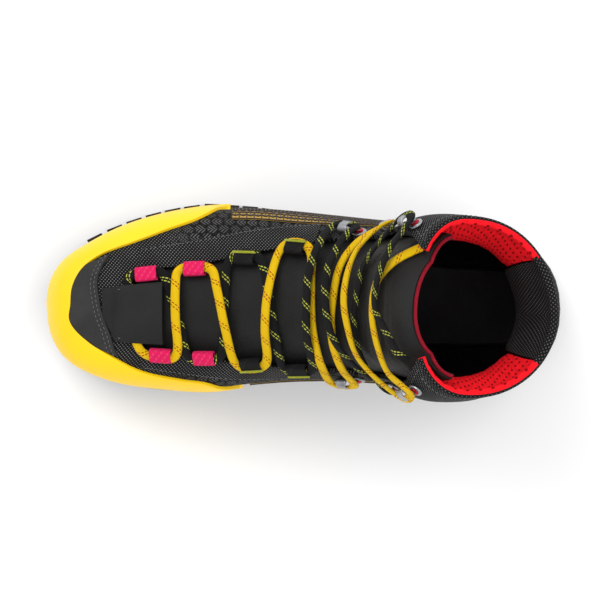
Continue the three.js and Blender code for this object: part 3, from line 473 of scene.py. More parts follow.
# Knitted outer fabric: pale dots on black, and hatched honeycombs where the "hatch" attribute says
def knitFabric(name, dotPitch, hatchPitch=0.0022, combPitch=0.0062, base=0.0028, dotShade=0.2,
               hatchShade=0.11):
    material = finish(name, Specular_IOR_Level=0.18)
    flat, x, y = clothSpace(material)
    dots = ramped(material, crossedWaves(material, x, y, dotPitch * 2), 0.38, 0.72)
    diagonal = calc(material, "ADD", x, y)
    counter = calc(material, "SUBTRACT", x, y)
    threads = ramped(material, wave(material, diagonal, hatchPitch), 0.1, 0.75)
    crossed = ramped(material, wave(material, counter, hatchPitch), 0.1, 0.75)
    row = ramped(material, wave(material, y, 2 * combPitch), -0.1, 0.1)
    lines = node(material, "Mix", {0: row, 2: threads, 3: crossed}).outputs[0]
    # Three sets of waves, a sixth of a turn apart, add up to honeycombs
    half = calc(material, "MULTIPLY", y, 0.5)
    wide = calc(material, "MULTIPLY", x, math.sin(turn / 6))
    sets = [y, calc(material, "ADD", wide, half), calc(material, "SUBTRACT", wide, half)]
    first, second, third = [wave(material, value, combPitch, turn / 4) for value in sets]
    summed = calc(material, "ADD", calc(material, "ADD", first, second), third)
    combs = ramped(material, summed, -1.15, -0.45)
    hatch = calc(material, "MULTIPLY", lines, combs)
    place = node(material, "Attribute", attribute_name="hatch").outputs["Fac"]
    cloudy = ramped(material, noise(material, flat, 60.0), 0.2, 0.8, (0.55, 1.1))
    dotColour = blended(material, calc(material, "MULTIPLY", dots, cloudy), grey(base), grey(dotShade))
    hatchColour = blended(material, calc(material, "MULTIPLY", hatch, cloudy), grey(base), grey(hatchShade))
    colour = blended(material, place, dotColour, hatchColour)
    fibres = noise(material, flat, 2600.0, 2.0)
    fuzz = calc(material, "MULTIPLY", fibres, 0.5)
    height = calc(material, "ADD", calc(material, "MULTIPLY", dots, 0.6), fuzz)
    return connect(material, colour, ramped(material, fibres, 0.2, 0.8, (0.75, 0.95)), height, 0.00025)


# Smooth stretch fabric or microfibre
def smoothCloth(name, shade, rough=(0.5, 0.7), weave=0.0009, sheen=0.03, warm=0.03):
    material = finish(name, Sheen_Weight=sheen, Sheen_Roughness=0.4, Specular_IOR_Level=0.28)
    flat, x, y = clothSpace(material)
    cloth = crossedWaves(material, x, y, weave)
    soft = noise(material, flat, 45.0, 4.0)
    fine = noise(material, flat, 1500.0, 2.0)
    dark, light = grey(shade * 0.75, warm), grey(shade * 1.3, warm)
    colour = blended(material, ramped(material, soft, 0.3, 0.75), dark, light)
    height = calc(material, "ADD", calc(material, "MULTIPLY", cloth, 0.4), fine)
    return connect(material, colour, ramped(material, fine, 0.3, 0.7, rough), height, 0.00016)


def rubberFinish(name, colour, rough=(0.5, 0.7), grain=900.0, depth=0.0001, dust=0.12):
    material = finish(name, Specular_IOR_Level=0.4)
    space = objectSpace(material)
    grains = noise(material, space, grain, 3.0)
    clouds = noise(material, space, 22.0, 5.0, 0.6)
    dark, light = shaded(colour, 1 - dust), shaded(colour, 1 + dust)
    shade = blended(material, ramped(material, clouds, 0.3, 0.7), dark, light)
    return connect(material, shade, ramped(material, clouds, 0.3, 0.7, rough), grains, depth)


# Red mesh with fine perforations
def perforatedMesh(name, colour, pitch=0.0036):
    material = finish(name, Specular_IOR_Level=0.12, Roughness=0.95)
    flat, x, y = clothSpace(material)
    holes = ramped(material, crossedWaves(material, x, y, pitch * 2), 0.55, 0.85)
    soft = noise(material, flat, 260.0, 3.0)
    cloth = blended(material, ramped(material, soft, 0.25, 0.7), shaded(colour, 0.72), colour)
    shade = blended(material, holes, cloth, shaded(colour, 0.25))
    height = calc(material, "SUBTRACT", calc(material, "MULTIPLY", soft, 0.5), holes)
    return connect(material, shade, None, height, 0.0005)


# Braid or tape: threads cross on it, with short slanted strokes of another colour in groups of two
def braid(name, colour, fleck, pitch=0.0011, group=0.0125, slant=1.1, share=0.42):
    material = finish(name, Specular_IOR_Level=0.22, Roughness=0.8)
    x, y = clothSpace(material)[1:]
    right = calc(material, "SUBTRACT", x, y)
    threads = crossedWaves(material, calc(material, "ADD", x, y), right, pitch)
    slanted = node(material, "Math", {0: y, 1: slant, 2: x}, operation="MULTIPLY_ADD").outputs[0]
    groups = ramped(material, wave(material, slanted, group), share, share + 0.15)
    strokes = ramped(material, wave(material, slanted, group / 6, 0.8), 0.2, 0.55)
    broken = ramped(material, wave(material, right, pitch * 2.4), -0.75, -0.35)
    marks = calc(material, "MULTIPLY", calc(material, "MULTIPLY", groups, strokes), broken)
    body = blended(material, ramped(material, threads, -0.8, 0.1), shaded(colour, 0.9), colour)
    return connect(material, blended(material, marks, body, fleck), None, threads, 0.0003)


def metalFinish(name, colour, rough=(0.25, 0.5)):
    material = finish(name, Metallic=1.0)
    space = objectSpace(material)
    stretched = node(material, "Mapping", {"Vector": space, "Scale": (1, 1, 14)}).outputs[0]
    scratches = noise(material, stretched, 700.0, 3.0)
    clouds = noise(material, space, 180.0, 4.0)
    shade = blended(material, ramped(material, clouds, 0.3, 0.7), shaded(colour, 0.72), colour)
    return connect(material, shade, ramped(material, scratches, 0.3, 0.7, rough), scratches, 0.00005)


finishes = {
    "upperKnit": knitFabric("dotted knit", 0.00105),
    "rearKnit": knitFabric("collar knit", 0.00115, dotShade=0.1),
    "lining": perforatedMesh("red mesh lining", (0.90, 0.008, 0.016, 1.0)),
    "footLining": perforatedMesh("dark mesh lining", (0.012, 0.011, 0.012, 1.0)),
    "cap": smoothCloth("charcoal microfibre", 0.019, rough=(0.42, 0.6), weave=0.0007),
    "smooth": smoothCloth("black stretch panel", 0.0065),
    "rand": rubberFinish("yellow rand rubber", (0.97, 0.61, 0.0, 1.0), rough=(0.38, 0.52), dust=0.03),
    "rubber": rubberFinish("black outsole rubber", (0.016, 0.013, 0.011, 1.0), rough=(0.65, 0.9)),
    "foam": rubberFinish("grey midsole foam", (0.02, 0.02, 0.022, 1.0), rough=(0.6, 0.8), grain=400.0),
    "wedge": rubberFinish("moulded shelf plastic", (0.03, 0.03, 0.033, 1.0), rough=(0.4, 0.55), grain=1400.0),
    "board": rubberFinish("fibre board", (0.42, 0.33, 0.2, 1.0), rough=(0.8, 0.95), grain=300.0, dust=0.25),
    "footbed": rubberFinish("felt footbed", (0.04, 0.042, 0.045, 1.0), rough=(0.85, 1.0), grain=1200.0,
                            dust=0.3),
    "stiffener": rubberFinish("stiffener sheet", (0.05, 0.05, 0.055, 1.0), rough=(0.5, 0.7), dust=0.2),
    "underlay": rubberFinish("tan underlay", (0.50, 0.31, 0.06, 1.0), rough=(0.6, 0.8), dust=0.25),
    "lattice": rubberFinish("dark open lattice", (0.022, 0.012, 0.007, 1.0), rough=(0.4, 0.6), dust=0.3),
    "piping": braid("crimson piping cord", (0.40, 0.004, 0.022, 1.0), (0.5, 0.01, 0.04, 1.0), pitch=0.0009),
    "pinkTape": braid("pink webbing", (0.95, 0.01, 0.13, 1.0), (0.98, 0.1, 0.26, 1.0), pitch=0.0012,
                      group=0.004),
    "darkTape": braid("black webbing", (0.006, 0.006, 0.006, 1.0), (0.02, 0.02, 0.02, 1.0), pitch=0.0012),
    "yellowLace": braid("yellow lace", (1.0, 0.63, 0.0, 1.0), (0.50, 0.07, 0.005, 1.0)),
    "blackLace": braid("black lace", (0.005, 0.005, 0.006, 1.0), (0.62, 0.66, 0.08, 1.0)),
    "metal": metalFinish("satin steel", (0.36, 0.37, 0.39, 1.0)),
    "redMetal": metalFinish("red rivet", (0.5, 0.012, 0.03, 1.0)),
    "thread": braid("grey thread", (0.14, 0.14, 0.14, 1.0), (0.2, 0.2, 0.2, 1.0), pitch=0.0006),
    "yellowThread": braid("lime edge thread", (0.62, 0.66, 0.04, 1.0), (0.8, 0.8, 0.2, 1.0), pitch=0.0006),
}
print("finishes made:", len(finishes))


throat = throughRows([
    # station, lateral edge, medial edge of the lacing throat, in turns
    (4.4, 0.066, 0.093), (6, 0.072, 0.108), (7, 0.088, 0.128), (8.3, 0.108, 0.143), (9.8, 0.132, 0.158),
    (11.5, 0.15, 0.16), (13.5, 0.15, 0.155), (15.5, 0.13, 0.12), (17, 0.105, 0.085),
])
edgeColumn = {"lateral": 0, "medial": 1}
sideSign = {"lateral": 1, "medial": -1}
rimStation = 16.85
shell = {"wall": 2.2, "cells": (190, 150), "throatFront": (4.1, 4.42), "rim": 0.5}


def hatchAt(u, v):
    side = np.where(v > 0, smooth(0.085, 0.115, v), smooth(0.125, 0.15, -v))
    return side * smooth(5.0, 5.8, u) * smooth(11.6, 10.6, u)


def makeUpper():
    def spotAt(x, y):
        u = rimStation * x ** 1.15
        opened = smooth(*shell["throatFront"], u)
        return u, mix(throat(u, 0) * opened, 1 - throat(u, 1) * opened, y)

    bm = closedPanel(shell["cells"], spotAt, -shell["wall"], 0.0, rim=shell["rim"], closeTop=True)
    upper = toObject("upper_shell", bm, finishes["upperKnit"], cloth=True)
    u, v = stationsAndTurns(upper.data)
    hatch = upper.data.attributes.new("hatch", "FLOAT", "POINT")
    hatch.data.foreach_set("value", hatchAt(u, np.where(v > 0.5, v - 1, v)).astype(np.float32))
    nodes = ["toe_box"] + [f"{part}_{side}" for part in ("quarter", "ankle_panel", "cuff_shell")
                           for side in ("lateral", "medial")]
    settle(upper, "ankle", nodes)


# Toe rand and toe cap are drawn round the toe: distance from it, and direction
def chart(points):
    return [(u * math.cos(turn * v), u * math.sin(turn * v)) for u, v in points]


def fromChart(spots):
    return np.hypot(spots[:, 0], spots[:, 1]), np.arctan2(spots[:, 1], spots[:, 0]) / turn


def bandBetween(low, high):
    def spotAt(x, y):
        return fromChart(mix(throughPoints(chart(low), x), throughPoints(chart(high), x), y[:, None]))
    return spotAt


rand = {
    "gap": 0.1,
    "foot": 3.2,  # thickness where it meets the sole
    "top": 1.9,
    "cells": (170, 16),
    "upperEdge": [
        (6.44, 0.235), (6.08, 0.189), (5.68, 0.159), (5, 0.141), (4.32, 0.129), (3.5, 0.125), (2.94, 0.108),
        (2.5, 0.06), (2.4, 0), (2.36, -0.05), (3.1, -0.092), (3.84, -0.118), (4.66, -0.148), (5.34, -0.158),
        (6.02, -0.172), (6.74, -0.225),
    ],
    "lowerEdge": [
        (6.5, 0.36), (5.6, 0.362), (4.6, 0.364), (3.7, 0.366), (2.9, 0.37), (2, 0.375), (1.2, 0.38),
        (0.5, 0.36), (0.2, 0.3), (0.2, -0.3), (0.5, -0.36), (1.2, -0.38), (2, -0.375), (2.9, -0.37),
        (3.8, -0.366), (4.8, -0.364), (5.8, -0.362), (6.8, -0.36),
    ],
}


def randPlace(u, v, depth, isOuter, x, y):
    u, v, depth = arrays(u, v, depth)
    point = onLast(u, v, depth) / mm
    if isOuter > 0.5:
        below = np.cos(turn * v) < 0
        widest = onLast(u, np.sign(v) * 0.25, depth) / mm
        foot = featherAt(widest[:, 0]) + sole["gap"]
        height = mix(surfacePoint(u, v)[:, 2], foot, smooth(0.25, 0.36, np.abs(v)))
        hanging = np.stack([widest[:, 0], widest[:, 1], height], 1)
        point = np.where(below[:, None], hanging, point)
    return point * mm


def makeRand():
    bm = closedPanel(
        rand["cells"], bandBetween(rand["lowerEdge"], rand["upperEdge"]), rand["gap"],
        lambda u, v, x, y: mix(rand["foot"], rand["top"], y ** 1.5), place=randPlace, rim=0.8, rimSegments=3,
    )
    settle(toObject("toe_rand_rubber", bm, finishes["rand"], sharp=50), "lower", ["toe_rand"])


rearRand = {
    "gap": 0.1,
    "wall": 1.6,
    "margin": -1.5,
    "cells": (160, 12),
    "lowerEdge": [(6.85, 0.36), (8, 0.362), (9.3, 0.364), (10.4, 0.374), (11.2, 0.41), (11.5, 0.46)],
    "upperEdge": [(7.05, 0.318), (8.2, 0.316), (9.6, 0.312), (10.9, 0.328), (12, 0.4), (12.35, 0.46)],
    "middle": (11.55, 12.4),
}


def soleEdge(points, margin):
    x, y, z = points.T
    centre = sole["heelCentre"]
    half = np.where(y < swayAt(x), -soleHalfAt(x, "lateral", margin), soleHalfAt(x, "medial", margin))
    power = sole["heelPower"]
    across = np.abs(y) / (sole["heelHalf"] + margin)
    behind = np.maximum(0, (centre - x) / (sole["heelReach"] + margin))
    radius = (across ** power + behind ** power) ** (1 / power)
    rounded = np.stack([centre + (x - centre) / radius, y / radius, z], 1)
    return np.where((x > centre)[:, None], np.stack([x, swayAt(x) + half, z], 1), rounded)


def rearRandPlace(u, v, depth, isOuter, x, y):
    u, v, depth = arrays(u, v, depth)
    wall = onLast(u, v, depth) / mm
    if isOuter < 0.5:
        return wall * mm
    foot = soleEdge(surfacePoint(u, v), rearRand["margin"])
    outward = surfaceFrame(u, v)[0] * (1, 1, 0)
    inside = np.sum((foot - wall) * outward, 1) < 0
    foot = np.where(inside[:, None], wall, foot)
    foot[:, 2] = mix(featherAt(foot[:, 0]) + sole["gap"], foot[:, 2], y)
    return mix(wall, foot, (1 - smooth(0, 0.7, y))[:, None]) * mm


def makeRearRand():
    def bothSides(points, middle):
        return points + [(middle, 0.5)] + [(u + 0.1, 1 - v) for u, v in reversed(points)]

    low = bothSides(rearRand["lowerEdge"], rearRand["middle"][0])
    high = bothSides(rearRand["upperEdge"], rearRand["middle"][1])

    def spotAt(x, y):
        return mix(throughPoints(low, x), throughPoints(high, x), y[:, None]).T

    bm = closedPanel(rearRand["cells"], spotAt, rearRand["gap"], rearRand["gap"] + rearRand["wall"],
                     place=rearRandPlace, rim=0.5)
    settle(toObject("rear_rand_rubber", bm, finishes["rubber"]), "lower", ["rear_rand"])


panelGap = 0.05  # between the upper and what is laid on it
toeCap = {
    "wall": 1.6,
    "cells": (80, 24),
    "rearEdge": [(3.74, 0.116), (3.4, 0.064), (3.44, 0.007), (3.7, -0.06), (3.94, -0.112)],
    "frontEdge": [(2.98, 0.112), (2.5, 0.066), (2.34, 0), (2.34, -0.055), (3.12, -0.096)],
}


def makeToeCap():
    spotAt = bandBetween(toeCap["frontEdge"], toeCap["rearEdge"])
    bm = closedPanel(toeCap["cells"], spotAt, panelGap, toeCap["wall"])
    settle(toObject("toe_cap_panel", bm, finishes["cap"], cloth=True), "lower", ["toe_cap"])


# Side bands: an open lattice over a tan underlay
band = {
    "lateral": {"start": 6.55, "end": 12.1, "top": (0.158, 0.19)},
    "medial": {"start": 7.0, "end": 12.1, "top": (0.22, 0.235)},
    "foot": (0.302, 0.285),
    "size": (190, 42),
    "columns": 30,
    "rows": 11,
    "strut": 0.65,  # half the width of a bar, in millimetres
    "zigzag": 0.16,
    "underlay": 0.3,
    "wall": 0.6,
}


def makeBand(side, sign):
    part = band[side]

    def spotAt(x, y):
        u = mix(part["start"], part["end"], x)
        top = mix(*part["top"], smooth(8, 11.5, u))
        foot = mix(*band["foot"], smooth(8.5, 9.8, u))
        return u, sign * mix(top, foot, y)

    bm = closedPanel((70, 14), spotAt, panelGap, band["underlay"], rim=0)
    underlay = toObject(f"band_underlay_{side}", bm, finishes["underlay"])
    settle(underlay, "ankle")

    columns, rows = 2 * band["columns"], band["rows"]
    bm = unitGrid(columns, rows)

    def isOdd(x, y):
        return (round((x + 0.5) * columns) + round((y + 0.5) * rows)) % 2

    joined = []
    for edge in bm.edges:
        a, b = [vertex.co for vertex in edge.verts]
        if abs(a.x - b.x) < 1e-6 and len(edge.link_faces) > 1 and isOdd(a.x, min(a.y, b.y)):
            joined.append(edge)
    for vertex in bm.verts:
        if 0 < round((vertex.co.y + 0.5) * rows) < rows:
            vertex.co.y += (1 if isOdd(vertex.co.x, vertex.co.y) else -1) * band["zigzag"] / rows
    bmesh.ops.dissolve_edges(bm, edges=joined, use_verts=False)
    # The cells are inset in a flat copy at true proportions, then laid on the upper
    long, high = band["size"]
    bmesh.ops.scale(bm, vec=(long, high, 1), verts=bm.verts[:])
    cells = bm.faces[:]
    bmesh.ops.inset_individual(bm, faces=cells, thickness=band["strut"], depth=0)
    bmesh.ops.delete(bm, geom=cells, context="FACES")
    bmesh.ops.scale(bm, vec=(1 / long, 1 / high, 1), verts=bm.verts[:])
    layers = [bm.verts.layers.float.new(name) for name in ("station", "turns")]
    u, v = arrays(*spotAt(*flatSpots(bm)[:, :2].T))
    for vertex, a, b in zip(bm.verts, u, v):
        vertex[layers[0]], vertex[layers[1]] = a, b
    setPlaces(bm.verts, onLast(u, v, band["underlay"]))
    outside = extruded(bm, bm.faces[:])[0]
    spots = [readLayer(outside, layer) for layer in layers]
    setPlaces(outside, onLast(*spots, band["underlay"] + band["wall"]))
    lattice = toObject(f"lattice_band_{side}", mended(bm), finishes["lattice"], sharp=30)
    settle(lattice, "ankle", [f"lattice_{side}"])


facing = {"inset": 0.018, "width": 0.028, "lap": 0.004, "start": 4.45, "end": 8.9, "wall": 0.9}


def makeFacing(side, sign):
    def spotAt(x, y):
        u = mix(facing["start"], facing["end"], x)
        edge = throat(u, edgeColumn[side]) - facing["lap"]
        return u, sign * mix(edge, edge + facing["inset"] + facing["width"], y)

    bm = closedPanel((90, 10), spotAt, panelGap, facing["wall"], rim=0.35)
    tape = toObject(f"facing_tape_{side}", bm, finishes["upperKnit"], cloth=True)
    settle(tape, "lower", [f"facing_{side}"])


tongue = {"wall": 3.6, "lap": 0.02, "start": 4.45, "split": 13.5, "top": 16.75, "flapSide": 0.2,
          "ridge": -0.8, "edge": -3.0, "pipingRadius": 1.0}
padDepth = 8.1
layerGap = 0.8


def tuckAt(u):
    return mix(tongue["edge"], -padDepth - layerGap, smooth(10.2, 14.5, u))


def tongueFace(u, v, x=None, y=None):
    share = np.abs(v) / np.where(v > 0, throat(u, 0), throat(u, 1))
    tucks = 0.35 * np.sin(turn * u * 0.9) * smooth(0.9, 0.3, share)
    return mix(tongue["ridge"], tuckAt(u), smooth(0.45, 0.95, share)) - np.abs(tucks)


def tongueBack(u, v, x, y):
    return tongueFace(u, v) - tongue["wall"]


def topFace(u, v, x=None, y=None):
    across = np.minimum(1, np.abs(v) / throat(u, 1)) ** 2
    flap = mix(tongue["ridge"], -padDepth - layerGap, across)
    return mix(tongueFace(u, v), flap, smooth(14.4, 15.2, u))


def topBack(u, v, x, y):
    return topFace(u, v) - tongue["wall"]


def makeTongue():
    def lowerSpot(x, y):
        u = mix(tongue["start"], tongue["split"], x)
        return u, mix(-throat(u, 1) - tongue["lap"], throat(u, 0) + tongue["lap"], y)

    bm = closedPanel((110, 44), lowerSpot, tongueBack, tongueFace, rim=0.6)
    lower = toObject("tongue_panel", bm, finishes["smooth"], cloth=True)
    settle(lower, "ankle", ["tongue_lower", "tongue_ankle"])

    def topSpot(x, y):
        u = mix(tongue["split"] + 0.01, tongue["top"], x)
        share = smooth(14.6, 15.6, u)
        low = mix(-throat(u, 1) - tongue["lap"], -tongue["flapSide"], share)
        high = mix(throat(u, 0) + tongue["lap"], tongue["flapSide"], share)
        return u, mix(low, high, y)

    bm = closedPanel((56, 56), topSpot, topBack, topFace, rim=0.9, rimSegments=3)
    top = toObject("tongue_top_flap", bm, finishes["smooth"], cloth=True)
    settle(top, "flap", ["tongue_upper", "tongue_flap"])

    v = np.linspace(-tongue["flapSide"], tongue["flapSide"], 90)
    u = np.full_like(v, tongue["top"])
    normal, back = surfaceFrame(u, v)[:2]
    radius = tongue["pipingRadius"]
    line = onLast(u, v, topFace(u, v) - tongue["wall"] / 2) + back * radius * mm
    piping = toObject("tongue_piping_cord", tube(line, normal, radius, radius, 12), finishes["piping"])
    settle(piping, "tongue_top", ["tongue_piping"])


# A tube of oval section along a line; the cloth map holds the distance along it and round it
def tube(line, up, halfWidth, halfHeight, sides, power=2.0):
    tangent = unit(np.gradient(line, axis=0))
    across = unit(np.cross(up, tangent))
    up = np.cross(tangent, across)
    bm = unitGrid(len(line) - 1, sides)
    x, y = flatSpots(bm)[:, :2].T
    index = np.rint(x * (len(line) - 1)).astype(int)
    mapCloth(bm, zip(lengthsAlong(line)[index], y * (halfWidth + halfHeight) * math.pi * mm))
    angle = y * turn
    reach = ovalReach(angle, power) * mm
    wide = (reach * np.cos(angle) * halfWidth)[:, None]
    high = (reach * np.sin(angle) * halfHeight)[:, None]
    setPlaces(bm.verts, line[index] + across[index] * wide + up[index] * high)
    bmesh.ops.remove_doubles(bm, verts=bm.verts[:], dist=0.005 * mm)
    bmesh.ops.holes_fill(bm, edges=[e for e in bm.edges if len(e.link_faces) == 1], sides=0)
    return mended(bm)


cover = {"medial": -0.078, "lateral": 0.035, "rear": 5.0, "wall": 1.3, "laceUnder": 1.8, "laceHeight": 2.0}


def makeCover():
    def spotAt(x, y):
        v = mix(cover["medial"], cover["lateral"], y)
        return mix(mix(3.52, 3.82, smooth(0.02, 0.08, -v)), cover["rear"], x), v

    def innerFace(u, v, x, y):
        overLace = cover["laceUnder"] + cover["laceHeight"] / 2 + 0.3
        sag = 0.7 * smooth(0.12, 0.0, np.minimum(y, 1 - y)) * smooth(3.7, 4.2, u)
        return mix(0.2, overLace, smooth(3.75, 4.15, u)) - sag

    def outerFace(u, v, x, y):
        return innerFace(u, v, x, y) + cover["wall"]

    bm = closedPanel((60, 30), spotAt, innerFace, outerFace)
    piece = toObject("lace_cover_panel", bm, finishes["smooth"], cloth=True)
    settle(piece, "lower", ["lace_cover"])


pads = {
    "lateral": {"look": "lining", "slot": "lining", "span": (None, 0.398), "swell": 5.0, "fade": (0, 0.4)},
    "rear": {"look": "rearKnit", "slot": "rear_lining", "span": (0.402, 0.598), "swell": 7.0,
             "fade": (-1, 0)},
    "medial": {"look": "lining", "slot": "lining", "span": (0.602, None), "swell": 5.0, "fade": (1, 0.6)},
}
padShape = {"start": 13.25, "outer": -2.25, "rim": -4.2, "seam": 1.2, "tips": 15.6, "blackEdge": 0.03}
swelling = {"pressure": 40.0, "stiffness": 3.0, "frames": 20, "glued": 3.0, "cap": 3.0, "seam": 0.014,
            "below": 0.35, "above": 0.45}


# The inner face swells between its seams; the outer face is glued to the shell
def swellPad(pad, stations, turns):
    mesh = pad.data
    places = np.zeros(len(mesh.vertices) * 3, np.float32)
    mesh.vertices.foreach_get("co", places)
    places = places.reshape(-1, 3)
    depth = np.linalg.norm(places - onLast(stations, turns, 0.0), axis=1)
    free = (depth > swelling["glued"] * mm) & (stations > stations.min() + swelling["below"])
    free &= (stations < stations.max() - swelling["above"])
    free &= (turns > turns.min() + swelling["seam"]) & (turns < turns.max() - swelling["seam"])
    seams = pad.vertex_groups.new(name="seams")
    seams.add([int(i) for i in np.flatnonzero(~free)], 1.0, "REPLACE")
    cloth = pad.modifiers.new("swell", "CLOTH")
    cloth.settings.vertex_group_mass = seams.name
    cloth.settings.use_pressure = True
    cloth.settings.uniform_pressure_force = swelling["pressure"]
    cloth.settings.effector_weights.gravity = 0
    for kind in ("tension", "compression", "shear"):
        setattr(cloth.settings, f"{kind}_stiffness", swelling["stiffness"])
    cloth.point_cache.frame_end = swelling["frames"]
    for frameNumber in range(1, swelling["frames"] + 1):
        bpy.context.scene.frame_set(frameNumber)
    swollen = pad.evaluated_get(bpy.context.evaluated_depsgraph_get()).data
    moved = np.zeros(len(places) * 3, np.float32)
    swollen.vertices.foreach_get("co", moved)
    shift = moved.reshape(-1, 3) - places
    length = np.linalg.norm(shift, axis=1, keepdims=True)
    cap = swelling["cap"] * mm
    mesh.vertices.foreach_set("co", (places + shift * cap / (cap + length)).ravel())
    pad.modifiers.remove(cloth)
    pad.vertex_groups.remove(seams)
    bpy.context.scene.frame_set(1)
    mesh.update()
    print(f"{pad.name}: swelled by {1000 * float((length * cap / (cap + length)).max()):.1f} mm")


def makePad(place):
    part = pads[place]

    def spotAt(x, y):
        u = mix(padShape["start"], rimStation, x)
        low, high = part["span"]
        low = throat(u, 0) if low is None else low
        high = 1 - throat(u, 1) if high is None else high
        return u, mix(low, high, y)

    def innerFace(u, v, x, y):
        swell = part["swell"] * smooth(*part["fade"], y) * smooth(0, 0.35, x)
        full = tuckAt(u) + layerGap - swell
        seams = padShape["seam"] * (smooth(0.06, 0, y) + smooth(0.94, 1, y))
        return mix(full + seams, padShape["rim"], smooth(0.55, 1, x))

    bm = closedPanel((36, 40), spotAt, innerFace, padShape["outer"], rim=0)
    looks = [finishes[part["look"]], finishes["smooth"]]
    pad = toObject(f"collar_pad_{place}_cushion", bm, looks, cloth=True)
    stations, turns = stationsAndTurns(pad.data)
    beside = np.where(turns < 0.5, turns - throat(stations, 0), 1 - throat(stations, 1) - turns)
    for face in pad.data.polygons:  # below the tips of the collar the edge by the tongue is black
        corner = face.vertices[0]
        isBlack = stations[corner] < padShape["tips"] and beside[corner] < padShape["blackEdge"]
        face.material_index = int(isBlack)
    swellPad(pad, stations, turns)
    settle(pad, "cuff", [f"collar_pad_{place}"])


collarRim = {"outer": 0.35, "inner": -4.4, "lift": 1.2, "rise": 1.9, "sections": 150,
             "redTo": (0.362, 0.614), "redFrom": 0.6}


def makeBinding():
    v = np.linspace(throat(rimStation, 0), 1 - throat(rimStation, 1), collarRim["sections"])
    u = np.full_like(v, rimStation)
    normal, back = surfaceFrame(u, v)[:2]
    outer, inner = collarRim["outer"], collarRim["inner"]
    line = onLast(u, v, (outer + inner) / 2) + back * collarRim["lift"] * mm
    half = (outer - inner) / 2
    bm = tube(line, back, half, collarRim["rise"], 20, power=2.3)
    for face in bm.faces:
        middle = np.array(face.calc_center_median())
        nearest = int(np.argmin(np.linalg.norm(line - middle, axis=1)))
        share = nearest / (len(line) - 1)
        inward = np.dot(middle - line[nearest], normal[nearest]) < collarRim["redFrom"] * mm
        isRed = share < collarRim["redTo"][0] or share > collarRim["redTo"][1]
        face.material_index = int(isRed and inward)
    piece = toObject("collar_rim_roll", bm, [finishes["rearKnit"], finishes["lining"]])
    settle(piece, "cuff", ["collar_binding"])


liningSock = {"start": 1.8, "end": 13.32, "edge": 0.036, "outer": -5.8, "wall": 1.5}
footbed = {"start": 2.2, "end": 11, "sides": (0.41, 0.59), "inner": -12.1, "outer": -8.1}


def makeLining():
    def spotAt(x, y):
        u = mix(liningSock["start"], liningSock["end"], x)
        opened = smooth(3.7, 4.3, u)
        low, high = [opened * (throat(u, column) + liningSock["edge"]) for column in (0, 1)]
        return u, mix(low, 1 - high, y)

    outer = liningSock["outer"]
    bm = closedPanel((110, 90), spotAt, outer - liningSock["wall"], outer, rim=0)
    sock = toObject("lining_sock", bm, finishes["footLining"], cloth=True)
    settle(sock, "ankle", ["foot_lining"])


def makeFootbed():
    def spotAt(x, y):
        return mix(footbed["start"], footbed["end"], x), mix(*footbed["sides"], y)

    bm = closedPanel((80, 24), spotAt, footbed["inner"], footbed["outer"], rim=0.8, rimSegments=3)
    settle(toObject("footbed_insole", bm, finishes["footbed"]), "lower", ["footbed"])


midsole = {"inset": -0.5, "shelfInner": -5.3, "shelf": (56, 68), "ends": (-23.8, 262.4), "cells": (160, 8),
           "rows": 6, "edge": 0.8}


def makeMidsole():
    bm = unitGrid(*midsole["cells"])
    layer = bm.verts.layers.float.new("rise")
    along, share = flatSpots(bm)[:, :2].T
    x = mix(*midsole["ends"], 0.5 - 0.5 * np.cos(math.pi * along))
    margin = mix(midsole["shelfInner"], midsole["inset"], smooth(*midsole["shelf"], x))
    y = swayAt(x) + mix(-soleHalfAt(x, "lateral", margin), soleHalfAt(x, "medial", margin), share)
    base = sole["lugDepth"] + sole["treadBase"] + sole["gap"] + springAt(x)
    setPlaces(bm.verts, np.stack([x, y, base], 1) * mm)
    for vertex, rise in zip(bm.verts, featherAt(x) - sole["gap"] - base):
        vertex[layer] = rise * mm
    faces = bm.faces[:]
    for _ in range(midsole["rows"]):
        top, faces = extruded(bm, faces)
        for vertex in top:
            vertex.co.z += vertex[layer] / midsole["rows"]
    roundOff(mended(bm), cornerEdges(bm), midsole["edge"], clamp=False)
    settle(toObject("midsole_foam", bm, finishes["foam"], sharp=50), "lower", ["midsole"])


# The moulded rubber and plastic pieces keep their shape and get soft edges
moulded = {
    "outsole_forefoot": {"edge": 0.5, "look": "rubber"},
    "outsole_heel": {"edge": 0.5, "look": "rubber"},
    "crampon_shelf": {"edge": 0.4, "look": "wedge"},
}


def makeMoulded(name):
    part = moulded[name]
    bm = bmesh.new()
    bm.from_mesh(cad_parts[name].data)
    bmesh.ops.remove_doubles(bm, verts=bm.verts[:], dist=0.02 * mm)
    bmesh.ops.dissolve_limit(bm, angle_limit=math.radians(1.5), verts=bm.verts[:], edges=bm.edges[:])
    roundOff(bm, cornerEdges(bm, math.radians(35)), part["edge"], segments=1)
    bmesh.ops.triangulate(bm, faces=bm.faces[:])
    piece = toObject(f"{name}_moulding", bm, finishes[part["look"]], sharp=32)
    settle(piece, "lower", [name])


lace = {"width": 5.4, "thickness": 2.0, "over": 5.4, "under": 1.8, "step": 9, "sides": 12}
loop = {"half": 3.2, "rise": 1.6, "wall": 0.9, "length": 12.4, "seat": 3.1, "cells": (14, 40), "power": 3.2,
        "puff": 0.12, "edge": 0.25}
edgeThread = {"across": 2.3, "above": 0.3, "reach": 0.56, "halves": (0.75, 0.5), "sides": 8, "steps": 24}
loops = {
    "lateral": [(4.38, 4.88, 0.053), (5.44, 6.02, 0.056), (6.62, 7.22, 0.074), (7.96, 8.72, 0.097)],
    "medial": [(4.64, 5.24, 0.099), (5.66, 6.22, 0.1), (6.76, 7.38, 0.119), (8, 8.66, 0.136)],
}


